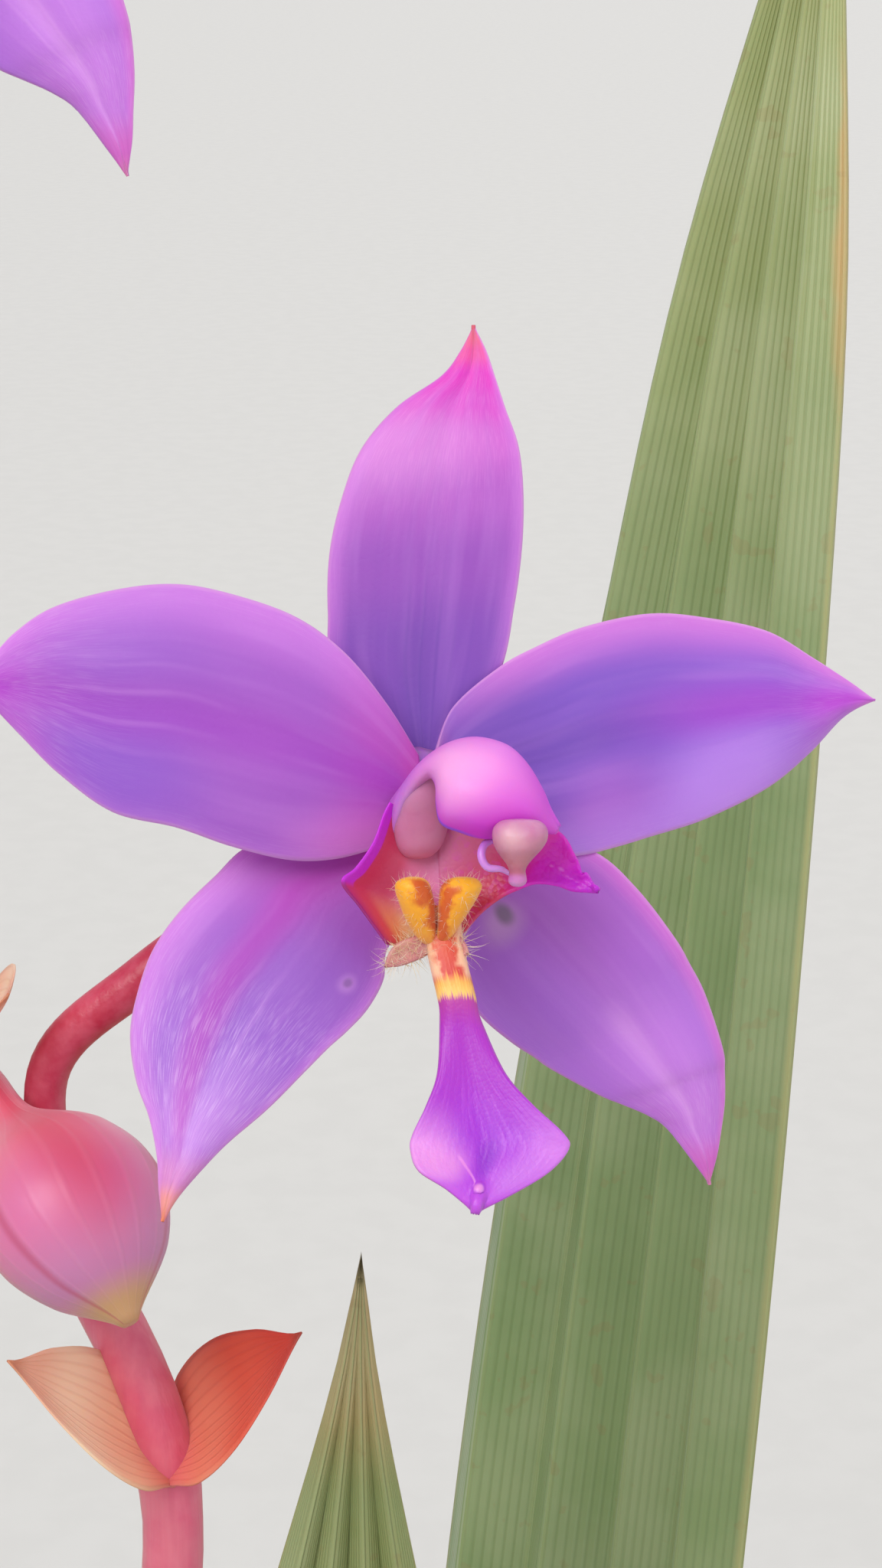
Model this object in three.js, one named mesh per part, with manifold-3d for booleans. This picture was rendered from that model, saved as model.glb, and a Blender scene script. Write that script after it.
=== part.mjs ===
// A potted Philippine ground orchid: pleated leaves and two flower stalks that grow
// from pseudobulbs at the surface of the mix in a plain clay pot.
// Millimetres, +Z up. The origin is the centre of the pot's underside.

import * as THREE from 'three';
import { mergeVertices } from 'three/addons/utils/BufferGeometryUtils.js';
import Module from 'manifold-3d';

const wasm = await Module();
wasm.setup();

// Clearance between pieces that touch
const GAP = 0.3;

// Pot
const POT_HEIGHT = 130;
const POT_FOOT_RADIUS = 52;
const POT_SHOULDER_RADIUS = 70;
const POT_RIM_RADIUS = 76;
const RIM_HEIGHT = 24;
const RIM_OVERHANG = 4;
const POT_WALL = 5.5;
const POT_FLOOR = 8;
const POT_SIDES = 32;
const DRAIN_RADIUS = 6;
const DRAIN_CIRCLE = 26;

// Potting mix
const SOIL_EDGE = 112;
const SOIL_CROWN = 119;
const CRUMB_HEIGHT = 1.1;

// Pseudobulbs
const BULB_RADIUS = 14.5;
const BULB_HEIGHT = 40;
const BULB_SHELF = 30.5;
const BULB_SHELF_RADIUS = 11;
const BULB_NECK_RADIUS = 3.2;
const BULB_FOOT_Z = 104;
const BULB_SIDES = 10;
const BULB_PLACES = [[-30, 4], [4, 34], [32, 10], [20, -28], [-20, -34]];

// Leaves: a channelled stalk, then a blade with lengthwise pleats
const LEAF_THICKNESS = 0.9;
const LEAF_PLEATS = 8;
const LEAF_ROWS = 8;
const PLEAT_DEPTH = 1.5;
const LEAF_SEAT_RADIUS = 7.6;

// Flower stalks
const STALK_RADIUS = 2.7;
const STALK_TIP_RADIUS = 1.1;
const STALK_SIDES = 6;
const PEDICEL_RADIUS = 1.15;
const STALK_FOOT_Z = 99;
const STALK_HOLE_RADIUS = 4.4;

// Blooms: outlines are drawn as they look from VIEW_DISTANCE in front of the bloom
const VIEW_DISTANCE = 150;
const TEPAL_THICKNESS = 0.8;
const BLOOM_LEAN = 18;
const RECEPTACLE_BACK = 4;

const MATERIALS = {
  clay: new THREE.MeshStandardMaterial({ color: 0xb0653f, roughness: 0.85, metalness: 0 }),
  mix: new THREE.MeshStandardMaterial({ color: 0x3d2b1e, roughness: 0.95, metalness: 0 }),
  bulb: new THREE.MeshStandardMaterial({ color: 0x7d8a45, roughness: 0.6, metalness: 0 }),
  leaf: new THREE.MeshStandardMaterial({ color: 0x5d7d35, roughness: 0.5, metalness: 0 }),
  stalk: new THREE.MeshStandardMaterial({ color: 0xb8567c, roughness: 0.55, metalness: 0 }),
  tepal: new THREE.MeshStandardMaterial({ color: 0x9f5fc8, roughness: 0.55, metalness: 0 }),
  lip: new THREE.MeshStandardMaterial({ color: 0xb931c4, roughness: 0.45, metalness: 0 }),
  callus: new THREE.MeshStandardMaterial({ color: 0xf0a028, roughness: 0.6, metalness: 0 }),
  column: new THREE.MeshStandardMaterial({ color: 0xe464dc, roughness: 0.4, metalness: 0 }),
  anther: new THREE.MeshStandardMaterial({ color: 0xefbcd4, roughness: 0.5, metalness: 0 }),
};

const plant = new THREE.Group();

// Solids

function solidOf(geometry) {
  const plain = new THREE.BufferGeometry();
  plain.setAttribute('position', geometry.getAttribute('position'));
  plain.setIndex(geometry.getIndex());
  const merged = mergeVertices(plain, 1e-4);
  const corners = [];
  const index = merged.getIndex().array;
  for (let i = 0; i < index.length; i += 3) {
    const [a, b, c] = [index[i], index[i + 1], index[i + 2]];
    if (a !== b && b !== c && c !== a) corners.push(a, b, c);
  }
  const mesh = new wasm.Mesh({
    numProp: 3,
    vertProperties: new Float32Array(merged.getAttribute('position').array),
    triVerts: new Uint32Array(corners),
  });
  return new wasm.Manifold(mesh);
}

function geometryOf(solid) {
  const mesh = solid.getMesh();
  const geometry = new THREE.BufferGeometry();
  geometry.setAttribute('position', new THREE.BufferAttribute(mesh.vertProperties, 3));
  geometry.setIndex(new THREE.BufferAttribute(mesh.triVerts, 1));
  return geometry;
}

function fuse(geometries) {
  return geometryOf(geometries.map(solidOf).reduce((whole, piece) => whole.add(piece)));
}

function cut(geometry, tools) {
  return geometryOf(tools.map(solidOf).reduce((whole, tool) => whole.subtract(tool), solidOf(geometry)));
}

function enclosedVolume(points, faces) {
  const cross = new THREE.Vector3();
  return faces.reduce((sum, [a, b, c]) => sum + points[a].dot(cross.crossVectors(points[b], points[c])), 0);
}

function closedGeometry(points, faces) {
  const outward = enclosedVolume(points, faces) > 0;
  const geometry = new THREE.BufferGeometry().setFromPoints(points);
  geometry.setIndex(faces.flatMap(([a, b, c]) => (outward ? [a, b, c] : [a, c, b])));
  return geometry;
}

// A thin sheet from rows of middle points. halfStep gives half its thickness at a point.
// The last row may be a single point, the tip.
function sheet(rows, halfStep) {
  const points = [];
  const number = rows.map((row, i) => row.map((point, j) => {
    const half = halfStep(i, j);
    points.push(point.clone().add(half), point.clone().sub(half));
    return points.length - 2;
  }));
  const faces = [];
  const addFace = (a, b, c) => {
    faces.push([a, b, c], [a + 1, c + 1, b + 1]);
  };
  const addWall = (a, b) => {
    faces.push([b, a, a + 1], [b, a + 1, b + 1]);
  };
  for (let i = 0; i + 1 < number.length; i += 1) {
    const near = number[i];
    const far = number[i + 1];
    const last = near.length - 1;
    for (let j = 0; j < last; j += 1) {
      addFace(near[j], near[j + 1], far[Math.min(j, far.length - 1)]);
      if (far.length > 1) addFace(near[j + 1], far[j + 1], far[j]);
    }
    addWall(far[0], near[0]);
    addWall(near[last], far[far.length - 1]);
  }
  const foot = number[0];
  const head = number[number.length - 1];
  for (let j = 0; j + 1 < foot.length; j += 1) addWall(foot[j], foot[j + 1]);
  for (let j = 0; j + 1 < head.length; j += 1) addWall(head[j + 1], head[j]);
  return closedGeometry(points, faces);
}

// A round body along a curve through the given places, with a radius for each share of its length
function stem(places, radiusAt, steps, sides) {
  const curve = new THREE.CatmullRomCurve3(places);
  const frames = curve.computeFrenetFrames(steps, false);
  const points = [];
  for (let i = 0; i <= steps; i += 1) {
    const centre = curve.getPointAt(i / steps);
    for (let k = 0; k < sides; k += 1) {
      const angle = (2 * Math.PI * k) / sides;
      points.push(centre.clone()
        .addScaledVector(frames.normals[i], radiusAt(i / steps) * Math.cos(angle))
        .addScaledVector(frames.binormals[i], radiusAt(i / steps) * Math.sin(angle)));
    }
  }
  const footCentre = points.push(curve.getPointAt(0)) - 1;
  const headCentre = points.push(curve.getPointAt(1)) - 1;
  const faces = [];
  for (let k = 0; k < sides; k += 1) {
    const next = (k + 1) % sides;
    for (let i = 0; i < steps; i += 1) {
      const low = i * sides;
      const high = low + sides;
      faces.push([low + k, low + next, high + next], [low + k, high + next, high + k]);
    }
    faces.push([footCentre, next, k], [headCentre, steps * sides + k, steps * sides + next]);
  }
  return closedGeometry(points, faces);
}

// An egg of the given half sizes, few-sided
function egg(centre, sizes, turn = [0, 0, 0]) {
  const geometry = new THREE.SphereGeometry(1, 6, 4);
  geometry.scale(...sizes);
  geometry.rotateX(turn[0]);
  geometry.rotateY(turn[1]);
  geometry.rotateZ(turn[2]);
  return geometry.translate(...centre);
}

function plug(radius, low, high, sides, x, y) {
  const geometry = new THREE.CylinderGeometry(radius, radius, high - low, sides);
  geometry.rotateX(Math.PI / 2);
  return geometry.translate(x, y, (low + high) / 2);
}

function addPiece(group, name, geometry, material) {
  const mesh = new THREE.Mesh(geometry, material);
  mesh.name = name;
  group.add(mesh);
}

function turnedProfile(points, sides) {
  const geometry = new THREE.LatheGeometry(points.map(([r, z]) => new THREE.Vector2(r, z)), sides);
  return geometry.rotateX(Math.PI / 2);
}

const radians = THREE.MathUtils.degToRad;

// Pot and mix

const RIM_LOW = POT_HEIGHT - RIM_HEIGHT;
const wallInner = (z) => {
  const share = (z - POT_FLOOR) / (RIM_LOW - POT_FLOOR);
  return THREE.MathUtils.lerp(POT_FOOT_RADIUS, POT_SHOULDER_RADIUS, share) - POT_WALL;
};

function makePot() {
  const body = turnedProfile([
    [0, 0],
    [POT_FOOT_RADIUS, 0],
    [POT_SHOULDER_RADIUS, RIM_LOW],
    [POT_SHOULDER_RADIUS + RIM_OVERHANG, RIM_LOW],
    [POT_RIM_RADIUS, POT_HEIGHT - 2],
    [POT_RIM_RADIUS - 2, POT_HEIGHT],
    [wallInner(POT_HEIGHT) + 0.8, POT_HEIGHT],
    [wallInner(POT_HEIGHT - 2), POT_HEIGHT - 2],
    [wallInner(POT_FLOOR), POT_FLOOR],
    [0, POT_FLOOR],
  ], POT_SIDES);
  const drains = [90, 210, 330].map((angle) => plug(
    DRAIN_RADIUS, -1, POT_FLOOR + 1, 10,
    DRAIN_CIRCLE * Math.cos(radians(angle)), DRAIN_CIRCLE * Math.sin(radians(angle)),
  ));
  return cut(body, drains);
}

function makeMix(stalkFeet) {
  const clear = GAP + 0.1;
  const body = turnedProfile([
    [0, POT_FLOOR + clear],
    [wallInner(POT_FLOOR) - clear, POT_FLOOR + clear],
    [wallInner(SOIL_EDGE) - clear, SOIL_EDGE],
    [58, SOIL_EDGE + 2.5],
    [48, SOIL_EDGE + 3.5],
    [36, SOIL_EDGE + 5],
    [24, SOIL_EDGE + 6],
    [12, SOIL_CROWN - 0.5],
    [0, SOIL_CROWN],
  ], POT_SIDES);
  const place = body.getAttribute('position');
  for (let i = 0; i < place.count; i += 1) {
    const [x, y, z] = [place.getX(i), place.getY(i), place.getZ(i)];
    const crumb = Math.sin(0.37 * x + 1.3) * Math.cos(0.41 * y) + Math.sin(0.9 * x - 0.7 * y);
    if (z > SOIL_EDGE + 1 && Math.hypot(x, y) > 1) place.setZ(i, z + CRUMB_HEIGHT * crumb);
  }
  const bulbHoles = BULB_PLACES.map(([x, y]) => plug(
    BULB_RADIUS + 0.9, BULB_FOOT_Z - GAP, SOIL_CROWN + 9, 12, x, y,
  ));
  const stalkHoles = stalkFeet.map(([x, y]) => plug(
    STALK_HOLE_RADIUS, STALK_FOOT_Z - GAP, SOIL_CROWN + 9, 9, x, y,
  ));
  return cut(body, [...bulbHoles, ...stalkHoles]);
}

function makeBulb(x, y) {
  const body = turnedProfile([
    [0, 0],
    [BULB_RADIUS * 0.62, 0],
    [BULB_RADIUS * 0.92, 6],
    [BULB_RADIUS, 14],
    [BULB_RADIUS * 0.86, 24],
    [BULB_SHELF_RADIUS, BULB_SHELF],
    [BULB_NECK_RADIUS, BULB_SHELF],
    [BULB_NECK_RADIUS * 0.8, BULB_HEIGHT],
    [0, BULB_HEIGHT],
  ], BULB_SIDES);
  return body.translate(x, y, BULB_FOOT_Z);
}

// Leaves

// Half width of a leaf as a share of its widest, from its foot to its tip
const LEAF_WIDTHS = new THREE.SplineCurve([
  [0, 0.13], [0.12, 0.12], [0.24, 0.17], [0.36, 0.5], [0.48, 0.84],
  [0.6, 1], [0.72, 0.97], [0.82, 0.8], [0.91, 0.5], [1, 0],
].map(([x, y]) => new THREE.Vector2(x, y)));

// A leaf leaves its bulb nearly upright and bends over under its own weight, faster toward its tip
const LEAF_BEND_POWER = 1.5;
const LEAF_SPINE_STEPS = 12;

function leafSpine(foot, out, side, { length, lean, bend, sway }) {
  const step = length / LEAF_SPINE_STEPS;
  const places = [foot.clone()];
  for (let i = 0; i < LEAF_SPINE_STEPS; i += 1) {
    const share = (i + 0.5) / LEAF_SPINE_STEPS;
    const tilt = radians(lean + bend * share ** LEAF_BEND_POWER);
    places.push(places[i].clone()
      .addScaledVector(out, step * Math.sin(tilt))
      .addScaledVector(side, step * Math.sin(radians(sway * share)))
      .add(new THREE.Vector3(0, 0, step * Math.cos(tilt))));
  }
  return new THREE.CatmullRomCurve3(places);
}

function makeLeaf(leaf) {
  const { bulb, seat, heading, width, twist } = leaf;
  const [bulbX, bulbY] = BULB_PLACES[bulb];
  const out = new THREE.Vector3(Math.cos(radians(heading)), Math.sin(radians(heading)), 0);
  const side = new THREE.Vector3(-out.y, out.x, 0);
  const foot = new THREE.Vector3(
    bulbX + LEAF_SEAT_RADIUS * Math.cos(radians(seat)),
    bulbY + LEAF_SEAT_RADIUS * Math.sin(radians(seat)),
    BULB_FOOT_Z + BULB_SHELF + GAP,
  );
  const spine = leafSpine(foot, out, side, leaf);
  const faceUp = [];
  const rows = [];
  for (let i = 0; i <= LEAF_ROWS; i += 1) {
    const share = i / LEAF_ROWS;
    const along = spine.getTangentAt(share);
    const across = side.clone().applyAxisAngle(along, radians(twist * share));
    across.addScaledVector(along, -across.dot(along)).normalize();
    const up = new THREE.Vector3().crossVectors(along, across);
    const middle = spine.getPointAt(share);
    const half = (width / 2) * LEAF_WIDTHS.getPoint(share).y;
    const stalkness = THREE.MathUtils.smoothstep(0.42 - share, 0, 0.25);
    const pleat = PLEAT_DEPTH * Math.min(1, half / 12) * (1 - stalkness);
    faceUp.push(i === 0 ? new THREE.Vector3().crossVectors(new THREE.Vector3(0, 0, 1), side) : up);
    if (i === LEAF_ROWS) {
      rows.push([middle]);
      break;
    }
    rows.push(Array.from({ length: LEAF_PLEATS + 1 }, (_, j) => {
      const place = (2 * j) / LEAF_PLEATS - 1;
      const fold = j % 2 === 0 ? -pleat : pleat;
      const channel = Math.abs(place) * half * (0.14 + 0.6 * stalkness);
      return middle.clone()
        .addScaledVector(i === 0 ? side : across, place * half)
        .addScaledVector(faceUp[i], fold + channel);
    }));
  }
  return sheet(rows, (i) => faceUp[i].clone().multiplyScalar(LEAF_THICKNESS / 2));
}

const LEAVES = [
  { bulb: 1, seat: 20, heading: 22, length: 450, lean: 4.5, bend: 8, width: 44, sway: 9, twist: 10 },
  { bulb: 1, seat: 180, heading: 122, length: 415, lean: 5, bend: 58, width: 48, sway: 5, twist: -16 },
  { bulb: 1, seat: 290, heading: 92, length: 335, lean: -1, bend: 6, width: 30, sway: -3, twist: 0 },
  { bulb: 2, seat: 90, heading: 42, length: 405, lean: 8, bend: 70, width: 50, sway: -8, twist: 12 },
  { bulb: 2, seat: 270, heading: 0, length: 355, lean: 12, bend: 102, width: 48, sway: 12, twist: -14 },
  { bulb: 3, seat: 20, heading: -34, length: 310, lean: 14, bend: 122, width: 46, sway: 10, twist: 16 },
  { bulb: 3, seat: 200, heading: -80, length: 290, lean: 12, bend: 128, width: 42, sway: -12, twist: -12 },
  { bulb: 4, seat: 250, heading: -122, length: 325, lean: 10, bend: 116, width: 48, sway: 10, twist: 14 },
  { bulb: 4, seat: 110, heading: -164, length: 350, lean: 9, bend: 102, width: 46, sway: 10, twist: -14 },
  { bulb: 0, seat: 130, heading: 158, length: 385, lean: 6, bend: 76, width: 50, sway: -12, twist: 10 },
];

// Blooms
// Each sepal or petal is drawn from its root to its tip by its two edges, as seen from in front.
// depth holds how far forward its root and its tip stand, and how far its edges curl forward.

const DORSAL_SEPAL = {
  one: [[-1.2, 3], [-4.6, 6.6], [-5, 10], [-4.9, 13.2], [-4.2, 16.2], [-3.2, 18.6], [-1.4, 20.7],
    [0.9, 22.3], [1.9, 23.6]],
  two: [[1.2, 3], [3.9, 6.6], [4.75, 10.4], [5.15, 13.6], [5.2, 16.4], [4.95, 18.7], [4.3, 20.6],
    [3.7, 22.4], [3.25, 23.7]],
  tip: [2.6, 25],
  depth: [-0.4, -2.6, 0.9],
};
const LEFT_PETAL = {
  one: [[-0.3, 2.6], [-1.9, 5.2], [-4.1, 7.9], [-6.7, 9.8], [-10.1, 11], [-13, 11.5], [-16.1, 11.2],
    [-19.3, 10.3], [-21.3, 9], [-22.6, 7.6]],
  two: [[-0.6, -1.8], [-2.1, -2.2], [-4.6, -2.85], [-7, -2.9], [-10, -2.2], [-12.9, -1.2], [-16.2, -0.4],
    [-19, 1.6], [-20.9, 3.5], [-22.3, 5]],
  tip: [-23.6, 6.5],
  depth: [0.9, 7, -0.9],
};
const RIGHT_PETAL = {
  one: [[0.6, 2.6], [1.5, 5], [3.9, 7.1], [5.9, 8.2], [8.3, 9.2], [11.7, 9.9], [14.7, 9.7], [17.9, 9],
    [20.3, 7.6], [22.3, 6.3]],
  two: [[1, -1.5], [3, -2.3], [5.5, -2.8], [8.1, -2.7], [9.9, -2.3], [11.9, -1.7], [14.7, -0.8],
    [17.9, 0.8], [20.1, 2.6], [21.9, 4.5]],
  tip: [23.5, 5.4],
  depth: [0.9, -6, -0.9],
};
const LEFT_SEPAL = {
  one: [[-1.8, -0.8], [-6, -1.6], [-9.1, -2.2], [-10.9, -3.8], [-12.7, -5.6], [-14.1, -7.6], [-14.9, -9.8],
    [-15.3, -12], [-15, -14.4], [-14.3, -16.4], [-13.9, -18.4], [-13.8, -20.2]],
  two: [[-0.6, -2.6], [-0.5, -5.6], [-1.9, -7.6], [-2.1, -9.2], [-2.9, -10.7], [-3.9, -11.8], [-4.9, -12.7],
    [-6.1, -13.9], [-8.1, -15.9], [-10.1, -17.6], [-11.3, -18.8], [-12.7, -20.4]],
  tip: [-13.6, -21.8],
  depth: [-0.6, 4.5, -0.8],
};
const RIGHT_SEPAL = {
  one: [[1.5, -0.8], [5.5, -1.6], [8.9, -2.5], [11.1, -4.4], [13.1, -7], [13.9, -8.4], [14.7, -10],
    [15.6, -12.8], [15.7, -14], [15.7, -15.6], [15.5, -17.2], [15.3, -18.4]],
  two: [[0.8, -2.6], [1.2, -6.2], [1.8, -9.2], [2.9, -11], [4.5, -12.4], [5.7, -13.2], [6.7, -13.9],
    [9.1, -15.2], [10.3, -15.7], [11.7, -16.3], [12.7, -17], [14.1, -18.8]],
  tip: [14.9, -19.9],
  depth: [-0.8, -6, -0.8],
};
// The lip: a narrow claw that spreads into a fan-shaped blade, and two side lobes that stand up
// beside the column
const LIP_BLADE = {
  one: [[0, -5.4], [0.28, -7.6], [0.76, -10], [0.92, -11.6], [0.8, -14], [0.2, -15.7], [-0.52, -17.2],
    [-0.64, -18], [-0.2, -19.1], [1.3, -20.1]],
  two: [[1.8, -5.4], [2.08, -7.6], [2.72, -10], [3.16, -11.6], [4.28, -14], [5.68, -15.6], [7.4, -17.2],
    [7.64, -18], [6.6, -19.2], [4.6, -20.4]],
  tip: [2.76, -21.3],
  depth: [3.4, 8.6, 0.5],
};
const LEFT_LOBE = {
  one: [[0.1, -6.4], [-1.3, -5.6], [-2.1, -4.3], [-2.3, -2.6]],
  two: [[0.3, -7.1], [-1.9, -6.9], [-3.3, -5.3], [-4.3, -4.1]],
  tip: [-2.5, -0.6],
  depth: [3.6, 5.4, 0.8],
};
const RIGHT_LOBE = {
  one: [[1.6, -6], [3.3, -4.4], [4.9, -2.4], [6.6, -1.2], [7.9, -2.4]],
  two: [[1.9, -7], [3.7, -5.6], [5.2, -4.5], [6.6, -4.2], [8.1, -4.5]],
  tip: [9.1, -4.4],
  depth: [3.6, 4.6, 0.6],
};

// Moves a place toward the eye so that it still looks to be at across, up
function seen(across, up, forward) {
  const shrink = 1 - forward / VIEW_DISTANCE;
  return new THREE.Vector3(across * shrink, up * shrink, forward);
}

function petalSheet({ one, two, tip, depth }, rowCount, columnCount) {
  const edgeOf = (places) => new THREE.SplineCurve([...places, tip].map(([x, y]) => new THREE.Vector2(x, y)));
  const edges = [edgeOf(one), edgeOf(two)];
  const [root, end, curl] = depth;
  const rows = [];
  for (let i = 0; i < rowCount; i += 1) {
    const share = i / rowCount;
    const [from, to] = edges.map((edge) => edge.getPoint(share));
    rows.push(Array.from({ length: columnCount + 1 }, (_, j) => {
      const place = (2 * j) / columnCount - 1;
      const curled = curl * (place * place - 0.5) * Math.sin(Math.PI * share);
      const spot = from.clone().lerp(to, j / columnCount);
      return seen(spot.x, spot.y, THREE.MathUtils.lerp(root, end, share) + curled);
    }));
  }
  rows.push([seen(...tip, end)]);
  const half = new THREE.Vector3(0, 0, TEPAL_THICKNESS / 2);
  return sheet(rows, () => half);
}

function stemIn({ places, radii }, sides) {
  const spots = places.map((place) => new THREE.Vector3(...place));
  const radius = new THREE.SplineCurve(radii.map((r, i) => new THREE.Vector2(i, r)));
  return stem(spots, (share) => radius.getPoint(share).y, places.length, sides);
}

// Round bodies of a bloom: the places along each one's middle, and its radius at each
const RECEPTACLE = {
  places: [[0, 0, -RECEPTACLE_BACK], [0, 0, -2], [0, 0, 0], [0, 0, 1.3]],
  radii: [1.7, 2.4, 3.1, 2.6],
};
const LIP_SADDLE = {
  places: [[0.4, -2.8, 2.2], [0.5, -5, 2.6], [0.9, -6.6, 3.2], [1.1, -8, 3.6]],
  radii: [1, 1.4, 1.2, 0.7],
};
const COLUMN = {
  places: [[-0.4, -0.6, 2.15], [-0.2, -0.4, 3.6], [0.9, 0.5, 5.4], [2.3, 0.7, 7.2], [3.4, 0.4, 8.8]],
  radii: [1.5, 1.9, 2.4, 2.9, 3.2],
};

function bloomPieces() {
  return {
    tepals: fuse([
      stemIn(RECEPTACLE, 8),
      petalSheet(DORSAL_SEPAL, 6, 2),
      petalSheet(LEFT_SEPAL, 6, 2),
      petalSheet(RIGHT_SEPAL, 6, 2),
      petalSheet(LEFT_PETAL, 6, 3),
      petalSheet(RIGHT_PETAL, 6, 3),
    ]),
    lip: fuse([
      stemIn(LIP_SADDLE, 7),
      petalSheet(LIP_BLADE, 8, 2),
      petalSheet(LEFT_LOBE, 3, 1),
      petalSheet(RIGHT_LOBE, 4, 1),
    ]),
    callus: fuse([
      egg([-0.2, -4.7, 5.6], [1, 1.5, 1], [0.3, 0, 0.3]),
      egg([2, -4.7, 5.6], [1, 1.5, 1], [0.3, 0, -0.45]),
      egg([0.8, -6.3, 5.5], [0.8, 1.1, 0.7]),
    ]),
    column: stemIn(COLUMN, 8),
    anther_cap: egg([5, -2.5, 9.2], [1.4, 1.75, 1.2]),
  };
}

function mirrored(geometry) {
  const turned = geometry.clone().scale(-1, 1, 1);
  const index = turned.getIndex().array;
  for (let i = 0; i < index.length; i += 3) [index[i], index[i + 1]] = [index[i + 1], index[i]];
  return turned;
}

const BLOOM_SLOTS = { tepals: 'tepal', lip: 'lip', callus: 'callus', column: 'column', anther_cap: 'anther' };
const BLOOM_FORMS = bloomPieces();

// A bloom that faces its heading, turned from straight ahead, and looks up by BLOOM_LEAN
function placeBloom(name, { centre, heading, roll, size, flip }) {
  const group = new THREE.Group();
  group.position.set(...centre);
  group.rotation.set(radians(90 - BLOOM_LEAN), 0, radians(heading), 'ZYX');
  const face = new THREE.Group();
  face.rotation.z = radians(roll);
  face.scale.setScalar(size);
  group.add(face);
  for (const [piece, geometry] of Object.entries(BLOOM_FORMS)) {
    addPiece(face, `${name}_${piece}`, flip ? mirrored(geometry) : geometry, MATERIALS[BLOOM_SLOTS[piece]]);
  }
  plant.add(group);
  group.updateMatrixWorld(true);
  return (x, y, z) => face.localToWorld(new THREE.Vector3(x, y, z));
}

const STALKS = [
  {
    foot: [-6, 8],
    axis: [[-6, 8, STALK_FOOT_Z], [-5, 4, 200], [-1, -6, 350], [2.5, -12.5, 450], [5.5, -12.5, 481],
      [0, -8.5, 493], [-6.5, -5, 503], [-9.5, -1, 515], [-10.5, 5, 530], [-9.5, 10, 545], [-8, 13, 560],
      [-4, 12, 574]],
    blooms: [
      {
        centre: [20, -12, 520], heading: 0, roll: 0, size: 1, flip: false, joins: 5,
        bends: [[-20.9, -14.8, -10], [-15.6, -9.7, -9], [-6, -3.4, -9.5]],
      },
      { centre: [-10, -8, 572.5], heading: -24, roll: 6, size: 1, flip: false, joins: 9 },
      { centre: [-44, -12, 538], heading: -68, roll: -5, size: 0.96, flip: true, joins: 8 },
      { centre: [-36, 34, 562], heading: -142, roll: 4, size: 0.98, flip: true, joins: 9 },
    ],
    buds: [
      { joins: 6, toward: [7, -9, -2], nod: 6, size: 0.98 },
      { joins: 10, toward: [-4, 15, 6], nod: 10, size: 0.9 },
      { joins: 10, toward: [-14, -6, 8], nod: 8, size: 0.8 },
      { joins: 11, toward: [6, -4, 10], nod: 4, size: 0.62 },
      { joins: 11, toward: [-2, 8, 12], nod: 2, size: 0.5 },
    ],
    bracts: [
      { joins: 4, toward: [-5, -3, 5] },
      { joins: 4, toward: [5, -1, 5] },
      { joins: 6, toward: [3, -4, 3] },
      { joins: 8, toward: [-8, 4, 3] },
      { joins: 10, toward: [3, -6, 5] },
    ],
    sheaths: [1, 2],
  },
  {
    foot: [6, -8],
    axis: [[6, -8, STALK_FOOT_Z], [10, -10, 180], [24, -18, 290], [42, -30, 370], [54, -36, 408],
      [62, -38, 428], [66, -36, 444], [66, -32, 458]],
    blooms: [
      { centre: [92, -62, 424], heading: 42, roll: -4, size: 0.98, flip: true, joins: 4 },
      { centre: [44, -66, 436], heading: -16, roll: 5, size: 0.95, flip: false, joins: 5 },
    ],
    buds: [
      { joins: 5, toward: [10, 13, 2], nod: 14, size: 1.05 },
      { joins: 6, toward: [12, -6, 8], nod: 9, size: 0.85 },
      { joins: 6, toward: [-10, 8, 8], nod: 8, size: 0.75 },
      { joins: 7, toward: [5, 5, 9], nod: 3, size: 0.55 },
      { joins: 7, toward: [-5, -4, 10], nod: 2, size: 0.48 },
    ],
    bracts: [
      { joins: 3, toward: [6, -6, 5] },
      { joins: 4, toward: [-7, 3, 5] },
      { joins: 6, toward: [-3, -6, 6] },
    ],
    sheaths: [1, 2],
  },
];

// A nodding bud on its own short stalk, fat in the middle and pointed at its end
function budSolid(from, { toward, nod, size }) {
  const away = new THREE.Vector3(...toward);
  const fall = new THREE.Vector3(0, 0, -nod);
  const places = [0, 0.4, 0.8, 1.2, 1.6].map((share) => from.clone()
    .addScaledVector(away, share)
    .addScaledVector(fall, share * share * 0.42));
  const swell = new THREE.SplineCurve([[0, 1.1], [1, 1.1], [2, 1.3], [3, 4.2 * size], [4, 5.2 * size],
    [5, 3.8 * size], [6, 0.3]].map(([x, y]) => new THREE.Vector2(x, y)));
  return stem(places, (share) => swell.getPoint(share).y, 7, 6);
}

// A small boat-shaped bract that clasps the stalk and bends outward
function bractSolid(from, { toward }) {
  const away = new THREE.Vector3(...toward);
  const side = new THREE.Vector3(-away.y, away.x, 0).normalize();
  const lift = new THREE.Vector3().crossVectors(away, side).normalize();
  const rows = [[0, 1.6], [0.5, 3.6], [1, 3.3], [1.4, 1.8]].map(([far, half]) => [-1, 0, 1].map((place) => (
    from.clone()
      .addScaledVector(away, far)
      .addScaledVector(side, place * half)
      .addScaledVector(lift, Math.abs(place) * 0.9 - far * far))));
  rows.push([from.clone().addScaledVector(away, 1.75).addScaledVector(lift, -2.8)]);
  return sheet(rows, () => lift.clone().multiplyScalar(0.4));
}

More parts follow.
